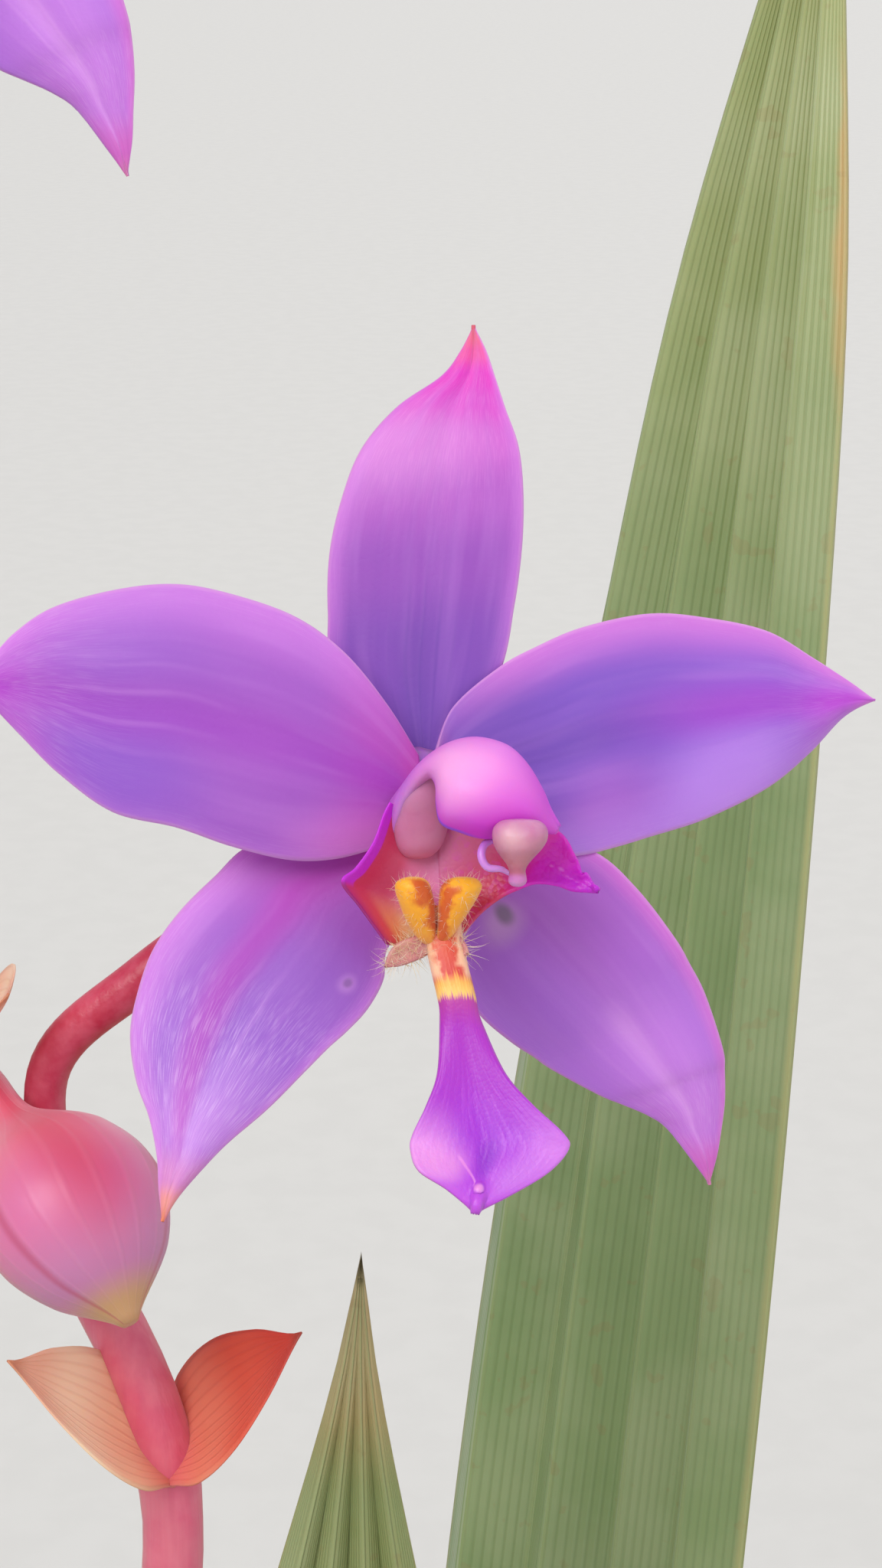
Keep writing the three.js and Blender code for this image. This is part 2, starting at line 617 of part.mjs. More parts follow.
function makeStalk(stalk, name, firstBloom) {
  const places = stalk.axis.map((place) => new THREE.Vector3(...place));
  const steps = Math.round(places.length * 1.5);
  const thick = (share) => THREE.MathUtils.lerp(STALK_RADIUS, STALK_TIP_RADIUS, share * share);
  const solids = [stem(places, thick, steps, STALK_SIDES)];
  stalk.blooms.forEach((bloom, i) => {
    const spot = placeBloom(`bloom_${firstBloom + i}`, bloom);
    const bends = bloom.bends ?? [[-2, -4, -14]];
    const route = [
      places[bloom.joins], ...bends.map((bend) => spot(...bend)), spot(-0.1, -0.4, -9), spot(0, 0, -6.4),
      spot(0, 0, -RECEPTACLE_BACK - GAP / bloom.size),
    ];
    solids.push(stem(route, (share) => PEDICEL_RADIUS + 0.6 * share * share, route.length + 2, 5));
  });
  for (const bud of stalk.buds) solids.push(budSolid(places[bud.joins], bud));
  for (const bract of stalk.bracts) solids.push(bractSolid(places[bract.joins], bract));
  for (const joins of stalk.sheaths) {
    const foot = places[joins].clone().add(new THREE.Vector3(0, 0, -8));
    const top = places[joins].clone().add(new THREE.Vector3(0.6, 0, 14));
    solids.push(stem([foot, foot.clone().lerp(top, 0.5), top], (share) => 3.9 - 0.5 * share, 3, 7));
  }
  addPiece(plant, name, fuse(solids), MATERIALS.stalk);
}

addPiece(plant, 'pot', makePot(), MATERIALS.clay);
addPiece(plant, 'potting_mix', makeMix(STALKS.map((stalk) => stalk.foot)), MATERIALS.mix);
BULB_PLACES.forEach(([x, y], i) => addPiece(plant, `pseudobulb_${i + 1}`, makeBulb(x, y), MATERIALS.bulb));
LEAVES.forEach((leaf, i) => addPiece(plant, `leaf_${i + 1}`, makeLeaf(leaf), MATERIALS.leaf));
makeStalk(STALKS[0], 'flower_stalk_1', 1);
makeStalk(STALKS[1], 'flower_stalk_2', 1 + STALKS[0].blooms.length);

export default plant;
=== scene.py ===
import math
import random

import bmesh
import bpy
import numpy as np
from mathutils import Matrix, Vector


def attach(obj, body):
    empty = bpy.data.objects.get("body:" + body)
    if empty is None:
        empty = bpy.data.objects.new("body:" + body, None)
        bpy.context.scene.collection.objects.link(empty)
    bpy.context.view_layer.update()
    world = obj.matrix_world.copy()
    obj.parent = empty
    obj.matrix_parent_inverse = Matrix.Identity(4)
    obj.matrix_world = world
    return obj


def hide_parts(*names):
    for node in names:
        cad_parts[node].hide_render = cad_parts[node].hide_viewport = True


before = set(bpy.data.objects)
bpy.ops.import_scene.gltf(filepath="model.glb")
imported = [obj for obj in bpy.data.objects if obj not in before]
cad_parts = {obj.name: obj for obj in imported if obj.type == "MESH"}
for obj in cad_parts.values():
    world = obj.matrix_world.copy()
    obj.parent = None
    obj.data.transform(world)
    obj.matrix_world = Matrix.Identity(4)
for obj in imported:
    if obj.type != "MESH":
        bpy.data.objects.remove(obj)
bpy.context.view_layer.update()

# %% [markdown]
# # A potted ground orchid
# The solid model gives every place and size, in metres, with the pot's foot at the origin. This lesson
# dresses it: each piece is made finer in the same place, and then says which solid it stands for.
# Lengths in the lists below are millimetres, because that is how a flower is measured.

MM = 0.001

# %% [markdown]
# ## The camera
# The flower was looked at from close in front, a little above it. A camera that stands 150 mm from the
# bloom, with a view of 82 mm on its long side, gives the same shape to every petal. It looks along the
# bloom's own axis, so its three directions are the bloom's.

# %% Camera
BLOOM_LEAN = math.radians(18)
VIEW_DISTANCE = 150
VIEW_LONG_SIDE = 81.92
SENSOR_WIDTH = 36
NEAREST_SEEN = 0.005
BLOOM_CENTRE = Vector((20, -12, 520))
PICTURE_SHIFT = Vector((0.92, 1.04))

view_right = Vector((1, 0, 0))
view_up = Vector((0, math.sin(BLOOM_LEAN), math.cos(BLOOM_LEAN)))
view_back = Vector((0, -math.cos(BLOOM_LEAN), math.sin(BLOOM_LEAN)))

camera_data = bpy.data.cameras.new("camera")
camera_data.sensor_width = SENSOR_WIDTH
camera_data.lens = SENSOR_WIDTH * VIEW_DISTANCE / VIEW_LONG_SIDE
camera_data.clip_start = NEAREST_SEEN
camera = bpy.data.objects.new("camera", camera_data)
bpy.context.collection.objects.link(camera)
eye = BLOOM_CENTRE + view_right * PICTURE_SHIFT.x + view_up * PICTURE_SHIFT.y + view_back * VIEW_DISTANCE
turn = Matrix((view_right, view_up, view_back)).transposed()
camera.matrix_world = Matrix.Translation(eye * MM) @ turn.to_4x4()
bpy.context.scene.camera = camera
print("camera at", [round(value, 4) for value in eye * MM], "lens", round(camera_data.lens, 2))

# %% [markdown]
# ## Light
# A studio keeps shadows soft by using broad lights. Area lamps close to the plant would leave bright
# patches on a wide floor, so three wide suns are used: a key from the front left, a soft fill from the
# right and an edge light from behind. The plain view transform keeps strong petal colours as mixed.

# %% Light
LIT_PLACE = Vector((0, 0, 0.45))
SUNS = {  # name: strength, where it shines from, width in radians, colour
    "key_light": (2.0, (-0.7, -1.1, 1.9), 0.7, (1.0, 0.985, 0.96)),
    "fill_light": (0.8, (1.5, -0.9, 0.9), 1.5, (0.94, 0.96, 1.0)),
    "edge_light": (0.7, (0.6, 1.5, 1.4), 1.1, (1.0, 1.0, 1.0)),
}
for name, (energy, place, width, colour) in SUNS.items():
    lamp = bpy.data.lights.new(name, "SUN")
    lamp.energy = energy
    lamp.angle = width
    lamp.color = colour
    light = bpy.data.objects.new(name, lamp)
    bpy.context.collection.objects.link(light)
    light.location = place
    light.rotation_euler = (Vector(place) - LIT_PLACE).to_track_quat("Z", "Y").to_euler()

bpy.context.scene.view_settings.view_transform = "Standard"
world = bpy.data.worlds.new("studio")
world.use_nodes = True
sky = world.node_tree.nodes["Background"]
sky.inputs["Color"].default_value = (0.93, 0.95, 1.0, 1)
sky.inputs["Strength"].default_value = 0.5
bpy.context.scene.world = world
print("suns:", ", ".join(SUNS))

# %% [markdown]
# ## Words for nodes
# Materials and Geometry Nodes are both trees of nodes. A small class adds a node, sets it up and joins
# its inputs in one call, so that the trees further down read as a list of steps.

# %% Node helpers


class Nodes:
    """Adds nodes to a tree. An input is either a plain value or another node's output."""

    def __init__(self, tree):
        self.tree = tree

    def add(self, kind, inputs=None, **settings):
        node = self.tree.nodes.new(kind)
        for name, value in settings.items():
            setattr(node, name, value)
        for name, value in (inputs or {}).items():
            if isinstance(value, bpy.types.NodeSocket):
                self.tree.links.new(value, node.inputs[name])
            else:
                node.inputs[name].default_value = value
        return node

    def out(self, kind, inputs=None, **settings):
        """A new node's outputs."""
        return self.add(kind, inputs, **settings).outputs

    def maths(self, operation, *values):
        return self.out("ShaderNodeMath", dict(enumerate(values)), operation=operation)[0]

    def vector(self, operation, *values, out=0):
        return self.out("ShaderNodeVectorMath", dict(enumerate(values)), operation=operation)[out]

    def join(self, x, y, z=0.0):
        return self.out("ShaderNodeCombineXYZ", {0: x, 1: y, 2: z})[0]

    def split(self, place):
        return self.out("ShaderNodeSeparateXYZ", {0: place})

    def smooth(self, value, low, high):
        """0 below low, 1 above high, and a smooth slope between them."""
        inputs = {"Value": value, "From Min": low, "From Max": high}
        return self.out("ShaderNodeMapRange", inputs, interpolation_type="SMOOTHSTEP")[0]

    def fade(self, value, low, high):
        """1 below low and 0 above high."""
        return self.maths("SUBTRACT", 1.0, self.smooth(value, low, high))

    def scaled(self, value, by):
        return self.maths("MULTIPLY", value, by)

    def between(self, value, low, full, high, gone):
        """1 from full to high, with smooth slopes to 0 at low and at gone."""
        return self.scaled(self.smooth(value, low, full), self.fade(value, high, gone))

    def group(self, tree, **inputs):
        named = {name.replace("_", " "): value for name, value in inputs.items()}
        return self.out("ShaderNodeGroup", named, node_tree=tree)


def new_group(name, kind, inputs, outputs):
    """A node group with named sockets, its input node's sockets and its output node's sockets."""
    tree = bpy.data.node_groups.new(name, kind)
    for word, socket, *value in inputs:
        item = tree.interface.new_socket(word, in_out="INPUT", socket_type="NodeSocket" + socket)
        if value:
            item.default_value = value[0]
    for word, socket in outputs:
        tree.interface.new_socket(word, in_out="OUTPUT", socket_type="NodeSocket" + socket)
    return tree, tree.nodes.new("NodeGroupInput").outputs, tree.nodes.new("NodeGroupOutput").inputs


def gives_out(nodes, gives, **results):
    """Joins a tree's results to its output sockets."""
    for word, result in results.items():
        nodes.tree.links.new(result, gives[word])
    print(nodes.tree.name, "has", len(nodes.tree.nodes), "nodes")


print("node helpers are ready")

# %% [markdown]
# ## Effects that several finishes share
# Petals, lip and column have the same skin: tiny domed cells that glitter, fine veins that run from root
# to tip, and a slow change of colour. Each effect is a node group, made once. A group gives only masks
# and heights, and each material decides what colour they bring.

# %% Skin cells
cell_tree, given, gives = new_group(
    "skin_cells", "ShaderNodeTree", [("Place", "Vector"), ("Cell size", "Float", 0.0002)],
    [("Height", "Float"), ("Glint", "Float")])
nodes = Nodes(cell_tree)
per_metre = nodes.maths("DIVIDE", 1.0, given["Cell size"])
cells = nodes.out("ShaderNodeTexVoronoi", {"Vector": given["Place"], "Scale": per_metre})
dome = nodes.maths("SUBTRACT", 1.0, nodes.maths("POWER", cells["Distance"], 2.0))
shade = nodes.out("ShaderNodeSeparateColor", {0: cells["Color"]})[0]
gives_out(nodes, gives, Height=dome, Glint=nodes.smooth(shade, 0.45, 1.0))

# %% Veins from root to tip
vein_tree, given, gives = new_group(
    "long_veins", "ShaderNodeTree",
    [("Across", "Float"), ("Along", "Float"), ("Lines", "Float", 14.0), ("Waver", "Float", 0.5),
     ("Width", "Float", 0.3)],
    [("Mask", "Float")])
nodes = Nodes(vein_tree)
stretched = nodes.join(nodes.scaled(given["Across"], 5.0), nodes.scaled(given["Along"], 3.0))
drift = nodes.out("ShaderNodeTexNoise", {"Vector": stretched, "Scale": 1.0, "Detail": 2.0})[0]
counted = nodes.maths("MULTIPLY_ADD", given["Across"], given["Lines"], nodes.scaled(drift, given["Waver"]))
ridge = nodes.scaled(nodes.maths("PINGPONG", counted, 0.5), 2.0)
gives_out(nodes, gives, Mask=nodes.fade(ridge, 0.0, given["Width"]))

# %% Silky streaks
silk_tree, given, gives = new_group(
    "silky_streaks", "ShaderNodeTree",
    [("Across", "Float"), ("Along", "Float"), ("Fine", "Float", 90.0), ("Long", "Float", 14.0)],
    [("Mask", "Float")])
nodes = Nodes(silk_tree)
combed = nodes.join(nodes.scaled(given["Across"], given["Fine"]), nodes.scaled(given["Along"], given["Long"]))
strands = nodes.out("ShaderNodeTexNoise", {"Vector": combed, "Scale": 1.0, "Detail": 2.0})[0]
gives_out(nodes, gives, Mask=nodes.smooth(strands, 0.42, 0.72))

# %% Slow change of colour
mottle_tree, given, gives = new_group(
    "mottle", "ShaderNodeTree",
    [("Place", "Vector"), ("Patch size", "Float", 0.004), ("Detail", "Float", 3.0)],
    [("Mask", "Float")])
nodes = Nodes(mottle_tree)
per_metre = nodes.maths("DIVIDE", 1.0, given["Patch size"])
patches = nodes.out("ShaderNodeTexNoise", {
    "Vector": given["Place"], "Scale": per_metre, "Detail": given["Detail"]})[0]
gives_out(nodes, gives, Mask=nodes.smooth(patches, 0.3, 0.7))

# %% [markdown]
# ## Finishes
# A colour read from a picture is 0 to 255 with the screen's curve in it, and Blender mixes light without
# that curve, so each colour is converted once. `Finish` is a material that adds the words a painter uses:
# a base coat, a colour over it where masks let it through, and soft spots. Each finish is called skin
# while it is being mixed.


# %% Finish


def light_colour(red, green, blue):
    """A screen colour, 0 to 255, as the linear colour that Blender mixes."""
    def one(value):
        share = value / 255
        return share / 12.92 if share <= 0.04045 else ((share + 0.055) / 1.055) ** 2.4
    return (one(red), one(green), one(blue), 1.0)


class Finish(Nodes):
    """A material with a Principled BSDF. skin sets that shader's own sockets."""

    def __init__(self, name, **skin):
        self.material = bpy.data.materials.new(name)
        self.material.use_nodes = True
        super().__init__(self.material.node_tree)
        self.shader = self.tree.nodes["Principled BSDF"]
        for socket, value in skin.items():
            self.shader.inputs[socket.replace("_", " ")].default_value = value
        self.place = self.out("ShaderNodeTexCoord")["Object"]
        self.across, self.along, _ = self.split(self.out("ShaderNodeUVMap", uv_map="UVMap")[0])
        self.off_middle = self.maths("ABSOLUTE", self.maths("MULTIPLY_ADD", self.across, 2.0, -1.0))

    def run(self, value, stops, way="EASE"):
        """A run of colours: stops are (where, red, green, blue)."""
        node = self.add("ShaderNodeValToRGB", {0: value})
        ramp = node.color_ramp
        ramp.interpolation = way
        while len(ramp.elements) < len(stops):
            ramp.elements.new(0.5)
        for element, (where, *colour) in zip(ramp.elements, stops):
            element.position = where
            element.color = light_colour(*colour)
        return node.outputs[0]

    def paint(self, colour):
        self.colour = colour
        self.tree.links.new(colour, self.shader.inputs["Base Color"])

    def base(self, value, stops, way="EASE"):
        """The first coat, a run of colours."""
        self.paint(self.run(value, stops, way))

    def over(self, paint, *masks):
        """Lays a colour over what is painted so far, as far as every mask lets it through."""
        mask = masks[0]
        for other in masks[1:]:
            mask = self.scaled(mask, other)
        paint = light_colour(*paint) if isinstance(paint, tuple) else paint
        self.paint(self.out("ShaderNodeMix", {0: mask, 6: self.colour, 7: paint}, data_type="RGBA")[2])

    def spot(self, across, along, wide, long, soft):
        """1 inside an oval at a place on the piece's own chart, fading out past its edge."""
        side = self.maths("DIVIDE", self.maths("SUBTRACT", self.across, across), wide)
        end = self.maths("DIVIDE", self.maths("SUBTRACT", self.along, along), long)
        return self.fade(self.vector("LENGTH", self.join(side, end), out=1), 1.0 - soft, 1.0 + soft)

    def spots(self, marks):
        """Soft spots: each is its colour, its oval and its strength."""
        for paint, oval, strength in marks:
            self.over(paint, self.spot(*oval), strength)

    def reads(self, word):
        """A value that the mesh itself carries."""
        return self.out("ShaderNodeAttribute", attribute_name=word)["Fac"]

    def cells(self, size):
        return self.group(cell_tree, Place=self.place, Cell_size=size)

    def silk(self, fine, long):
        return self.group(silk_tree, Across=self.across, Along=self.along, Fine=fine, Long=long)[0]

    def veins(self, lines, waver, width):
        return self.group(vein_tree, Across=self.across, Along=self.along, Lines=lines,
                          Waver=waver, Width=width)[0]

    def mottle(self, size, detail=3.0, place=None):
        place = self.place if place is None else place
        return self.group(mottle_tree, Place=place, Patch_size=size, Detail=detail)[0]

    def dull(self, value, low, high):
        """Roughness from low, where value is 0, to high, where it is 1."""
        rough = self.out("ShaderNodeMapRange", {"Value": value, "To Min": low, "To Max": high})[0]
        self.tree.links.new(rough, self.shader.inputs["Roughness"])

    def emboss(self, height, strength, distance):
        bump = self.add("ShaderNodeBump", {"Height": height, "Strength": strength, "Distance": distance})
        normal = self.shader.inputs["Normal"]
        if normal.is_linked:
            self.tree.links.new(normal.links[0].from_socket, bump.inputs["Normal"])
        self.tree.links.new(bump.outputs[0], normal)

    def domed(self, size, strength, distance):
        """Small domed cells in relief."""
        self.emboss(self.cells(size)["Height"], strength, distance)


print("a mid grey of 188 is", round(light_colour(188, 188, 188)[0], 3), "in linear light")

# %% [markdown]
# ## Curves and thin tissue
# The solids were drawn with smooth curves through a few measured places, so the same two curves are
# written here: one for flat outlines and one for paths in space. A petal is then a grid of points between
# its two edges, given a top and an underside, and closed all round so that it is a real thin body.

# %% Smooth curves


def outline_curve(places, shares):
    """Places on a smooth curve through the given ones, at shares of their number."""
    places = np.asarray(places, float)
    last = len(places) - 1
    spot = np.clip(np.asarray(shares, float), 0, 1) * last
    at = np.minimum(spot.astype(int), last - 1)
    step = (spot - at).reshape(-1, *[1] * (places.ndim - 1))
    before, start = places[np.maximum(at - 1, 0)], places[at]
    end, after = places[at + 1], places[np.minimum(at + 2, last)]
    leave, arrive = (end - before) / 2, (after - start) / 2
    return ((2 * start - 2 * end + leave + arrive) * step**3
            + (3 * end - 3 * start - 2 * leave - arrive) * step**2 + leave * step + start)


def space_curve(places, count):
    """count evenly spaced points on the smooth curve in space through the given places."""
    places = np.asarray(places, float)
    full = np.vstack([2 * places[0] - places[1], places, 2 * places[-1] - places[-2]])
    steps = np.linspace(0, 1, 24, endpoint=False)[:, None]
    fine = []
    for i in range(len(places) - 1):
        a, b, c, d = full[i:i + 4]
        t0, t1, t2 = (max(np.linalg.norm(q - p), 1e-6) ** 0.5 for p, q in ((a, b), (b, c), (c, d)))
        leave = ((b - a) / t0 - (c - a) / (t0 + t1) + (c - b) / t1) * t1
        arrive = ((c - b) / t1 - (d - b) / (t1 + t2) + (d - c) / t2) * t1
        fine.append(b + leave * steps + (3 * (c - b) - 2 * leave - arrive) * steps**2
                    + (2 * (b - c) + leave + arrive) * steps**3)
    fine = np.vstack([*fine, places[-1:]])
    run = np.concatenate([[0], np.cumsum(np.linalg.norm(np.diff(fine, axis=0), axis=1))])
    wanted = np.linspace(0, run[-1], count)
    return np.stack([np.interp(wanted, run, fine[:, k]) for k in range(3)], axis=1)


def unit(vectors):
    return vectors / np.maximum(np.linalg.norm(vectors, axis=-1, keepdims=True), 1e-12)


def carried_frames(points):
    """Two directions across a path at each of its points, carried along it without twisting."""
    along = unit(np.gradient(points, axis=0))
    side = np.cross(along[0], (0.3, 0.2, 1.0) if abs(along[0][2]) < 0.9 else (0.2, 1.0, 0.1))
    sides = []
    for direction in along:
        side = unit(side - np.dot(side, direction) * direction)
        sides.append(side)
    sides = np.array(sides)
    return sides, np.cross(along, sides)


print("a curve through three places ends at", space_curve([(0, 0, 0), (1, 1, 0), (2, 0, 0)], 5)[-1])

# %% Tissue: thin sheets and round bodies gathered into one piece
SAME_PLACE = 2e-6


class Tissue:
    """Gathers sheets and round bodies, in millimetres, and makes one mesh of them."""

    def __init__(self):
        self.points, self.faces, self.charts, self.finishes, self.under = [], [], [], [], []
        self.count = 0

    def gather(self, points, faces, charts, finish, under):
        shaped = np.asarray(points, float)
        corners = np.asarray(faces)
        first, second, third = (shaped[corners[:, k]] for k in range(3))
        fourth = shaped[corners[:, -1]]
        inside = (np.einsum("ij,ij->i", first, np.cross(second, third)).sum()
                  + np.einsum("ij,ij->i", first, np.cross(third, fourth)).sum())
        if inside < 0:
            corners, charts = corners[:, ::-1], charts[:, ::-1]
        self.points.append(shaped)
        self.faces.append(corners + self.count)
        self.charts.append(charts)
        self.finishes += [finish] * len(corners)
        self.under.append(np.asarray(under, float))
        self.count += len(shaped)

    def sheet(self, middle, thickness, finish, front=None):
        """A sheet from a grid of middle points, rows from root to tip, with its thickness at each.

        front is 1 or -1 where the shown face can't be told from the side that looks along +Z."""
        rows, columns = middle.shape[:2]
        down = np.gradient(middle, axis=0)
        down[-1] = down[-2]
        over = np.gradient(middle, axis=1)
        over[-1] = over[-2]
        away = unit(np.cross(over, down))
        away *= (front or np.sign(away[..., 2].mean())) * (thickness / 2)[..., None]
        points = np.concatenate([(middle + away).reshape(-1, 3), (middle - away).reshape(-1, 3)])
        number = np.arange(rows * columns).reshape(rows, columns)
        low = number + rows * columns
        top = np.stack([number[:-1, :-1], number[:-1, 1:], number[1:, 1:], number[1:, :-1]], -1)
        top = top.reshape(-1, 4)
        rim = np.concatenate([number[0, :-1], number[:-1, -1], number[-1, :0:-1], number[:0:-1, 0]])
        ahead = np.roll(rim, -1)
        walls = np.stack([ahead, rim, rim + rows * columns, ahead + rows * columns], -1)
        faces = np.concatenate([top, low.reshape(-1)[top][:, ::-1], walls])
        u, v = np.meshgrid(np.linspace(0, 1, columns), np.linspace(0, 1, rows))
        chart = np.tile(np.stack([u, v], -1).reshape(-1, 2), (2, 1))
        under = np.repeat([0, 1], rows * columns)
        self.gather(points, faces, chart[faces], finish, under)

    def round_body(self, rings, finish):
        """A closed body from rings of points, with a point in the middle of each end."""
        count, sides = rings.shape[:2]
        points = np.concatenate([rings.reshape(-1, 3), [rings[0].mean(0), rings[-1].mean(0)]])
        number = np.arange(count * sides).reshape(count, sides)
        after = np.roll(number, -1, axis=1)
        skin = np.stack([number[:-1], after[:-1], after[1:], number[1:]], -1).reshape(-1, 4)
        foot = np.stack([after[0], number[0], *[np.full(sides, count * sides)] * 2], -1)
        head = np.stack([number[-1], after[-1], *[np.full(sides, count * sides + 1)] * 2], -1)
        u = np.arange(sides) / sides
        v = np.linspace(0, 1, count)
        ahead = u + 1 / sides
        corner_u = np.tile(np.stack([u, ahead, ahead, u], -1), (count - 1, 1))
        corner_v = np.repeat(np.stack([v[:-1], v[:-1], v[1:], v[1:]], -1), sides, axis=0)
        chart = np.stack([corner_u, corner_v], -1)
        ends = [np.stack([np.stack([ahead, u, u, u], -1), np.zeros((sides, 4))], -1),
                np.stack([np.stack([u, ahead, u, u], -1), np.ones((sides, 4))], -1)]
        self.gather(points, np.concatenate([skin, foot, head]), np.concatenate([chart, *ends]), finish,
                    np.zeros(len(points)))

    def tube(self, path, radii, sides, finish, wave=None):
        """A round body along a path. wave(angles, share) may swell each ring."""
        first, second = carried_frames(path)
        angles = np.linspace(0, 2 * np.pi, sides, endpoint=False)
        rings = []
        for i, (centre, radius) in enumerate(zip(path, radii)):
            swell = radius * (wave(angles, i / (len(path) - 1)) if wave else np.ones(sides))
            rings.append(centre + np.outer(np.cos(angles) * swell, first[i])
                         + np.outer(np.sin(angles) * swell, second[i]))
        self.round_body(np.array(rings), finish)

    def piece(self, name, slot, *nodes, move=None):
        """Makes the mesh, rides it on the plant and says which solids it stands for."""
        points = np.concatenate(self.points)
        points = (move(points) if move else points) * MM
        mesh = bpy.data.meshes.new(name)
        corners = np.concatenate(self.faces)
        tidy = [tuple(dict.fromkeys(face)) for face in corners.tolist()]
        mesh.from_pydata(points.tolist(), [], tidy)
        chart = mesh.uv_layers.new(name="UVMap")
        spread = []
        for face, corner_chart in zip(corners.tolist(), np.concatenate(self.charts).tolist()):
            seen_corners = dict.fromkeys(face)
            spread += [corner_chart[face.index(corner)] for corner in seen_corners]
        chart.uv.foreach_set("vector", np.array(spread, np.float32).ravel())
        kinds = list(dict.fromkeys(self.finishes))
        for finish in kinds:
            mesh.materials.append(finish.material)
        mesh.polygons.foreach_set("material_index", [kinds.index(finish) for finish in self.finishes])
        mesh.polygons.foreach_set("use_smooth", [True] * len(tidy))
        mesh.attributes.new("under", "FLOAT", "POINT").data.foreach_set("value", np.concatenate(self.under))
        return dress(name, weld(mesh), slot, *nodes)


def weld(mesh):
    """Joins points that share a place, and turns a mirrored mesh right side out."""
    shape = bmesh.new()
    shape.from_mesh(mesh)
    if shape.calc_volume(signed=True) < 0:
        bmesh.ops.reverse_faces(shape, faces=shape.faces)
    bmesh.ops.remove_doubles(shape, verts=shape.verts, dist=SAME_PLACE)
    shape.to_mesh(mesh)
    shape.free()
    return mesh


def dress(name, mesh, slot, *nodes):
    """Shows a finished mesh as a piece of the plant in place of the solids it stands for."""
    piece = bpy.data.objects.new(name, mesh)
    bpy.context.collection.objects.link(piece)
    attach(piece, "root")
    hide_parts(*nodes)
    triangles = sum(len(face.vertices) - 2 for face in mesh.polygons)
    print(f"{name}: {triangles} triangles for {', '.join(nodes)}")
    return piece


print("tissue helpers are ready")

# %% [markdown]
# ## The tepals' finish
# Sepals and petals are violet, pinker toward margin and tip, with a magenta band on the midrib and a few
# fine pale veins. Silky streaks near the tip and the margins are painted glints, and a thin bright line
# on each margin is a painted highlight. Painting each by hand would tie the colour to one petal. Instead
# each gets the same recipe with its own colours, read along and across the petal's own chart: across
# runs from one edge to the other and along runs from root to tip. Light shows through thin tissue, so a
# little of it goes under the surface, and the underside's lilac is painted lighter for that light too.

# %% Tepal recipe


def tepal_finish(name, body, first_edge, second_edge, midrib, veins, silk, back, marks):
    """A petal's finish. body is a run of colours from root to tip, marks are soft spots of colour."""
    skin = Finish(name, Roughness=0.5, Subsurface_Weight=0.16, Subsurface_Scale=0.0012,
                  Subsurface_Radius=(1.0, 0.35, 0.9), Sheen_Tint=light_colour(250, 200, 250),
                  Sheen_Weight=0.12, Sheen_Roughness=0.4, Specular_IOR_Level=0.36)
    skin.base(skin.along, body)
    skin.over((214, 150, 232), skin.silk(8.0, 2.2), 0.16)
    skin.over((108, 66, 170), skin.silk(13.0, 1.7), 0.08)
    skin.spots(marks)
    past_root = skin.smooth(skin.along, 0.0, 0.25)
    other_side = skin.maths("SUBTRACT", 1.0, skin.across)
    for (paint, wide, strong), side in ((first_edge, skin.across), (second_edge, other_side)):
        skin.over(paint, skin.fade(side, 0.0, wide), past_root, strong)
    paint, middle, wide, strong, low, high = midrib
    off_rib = skin.maths("ABSOLUTE", skin.maths("SUBTRACT", skin.across, middle))
    reach = skin.between(skin.along, low, low + 0.15, high, high + 0.2)
    skin.over(paint, skin.fade(off_rib, 0.0, wide), reach, strong)
    paint, count, strong, low, high = veins
    lines = skin.scaled(skin.veins(count, 0.6, 0.4), skin.fade(skin.off_middle, 0.1, 0.75))
    reach = skin.between(skin.along, low, low + 0.2, high, high + 0.2)
    skin.over(paint, lines, skin.mottle(0.006, 1.0), reach, strong)
    # Painted glints: pale silky streaks toward the tip and along the margins.
    paint, low, strong = silk
    glints_toward_tip = skin.between(skin.along, low, low + 0.3, 0.86, 0.96)
    glints_near_margin = skin.scaled(skin.smooth(skin.off_middle, 0.7, 1.0), 0.4)
    strands = skin.scaled(skin.silk(150.0, 18.0), skin.maths("MAXIMUM", glints_toward_tip, glints_near_margin))
    skin.over(paint, strands, strong)
    # A painted highlight: a thin bright line along each margin, where the edge catches light.
    skin.over((244, 176, 240), skin.smooth(skin.off_middle, 0.955, 1.0), 0.45)
    # The underside's colour: partly its own paler lilac, partly painted glow for light that shines through
    # the tissue.
    skin.over(back, skin.reads("under"), 0.75)
    skin.dull(strands, 0.5, 0.4)
    skin.emboss(lines, 0.05, 0.0001)
    skin.domed(0.00022, 0.14, 0.00004)
    return skin


PINK_LILAC = (222, 138, 232)
PALE_VEIN = (226, 166, 236)
# The underside's lilac below is partly its own colour and partly painted glow for light shining through.
BACK_LILAC_AND_PAINTED_GLOW = (208, 136, 222)
# The pale colour below is for the painted glints of the silk streaks.
PAINTED_GLINT_SILK = (250, 224, 250)

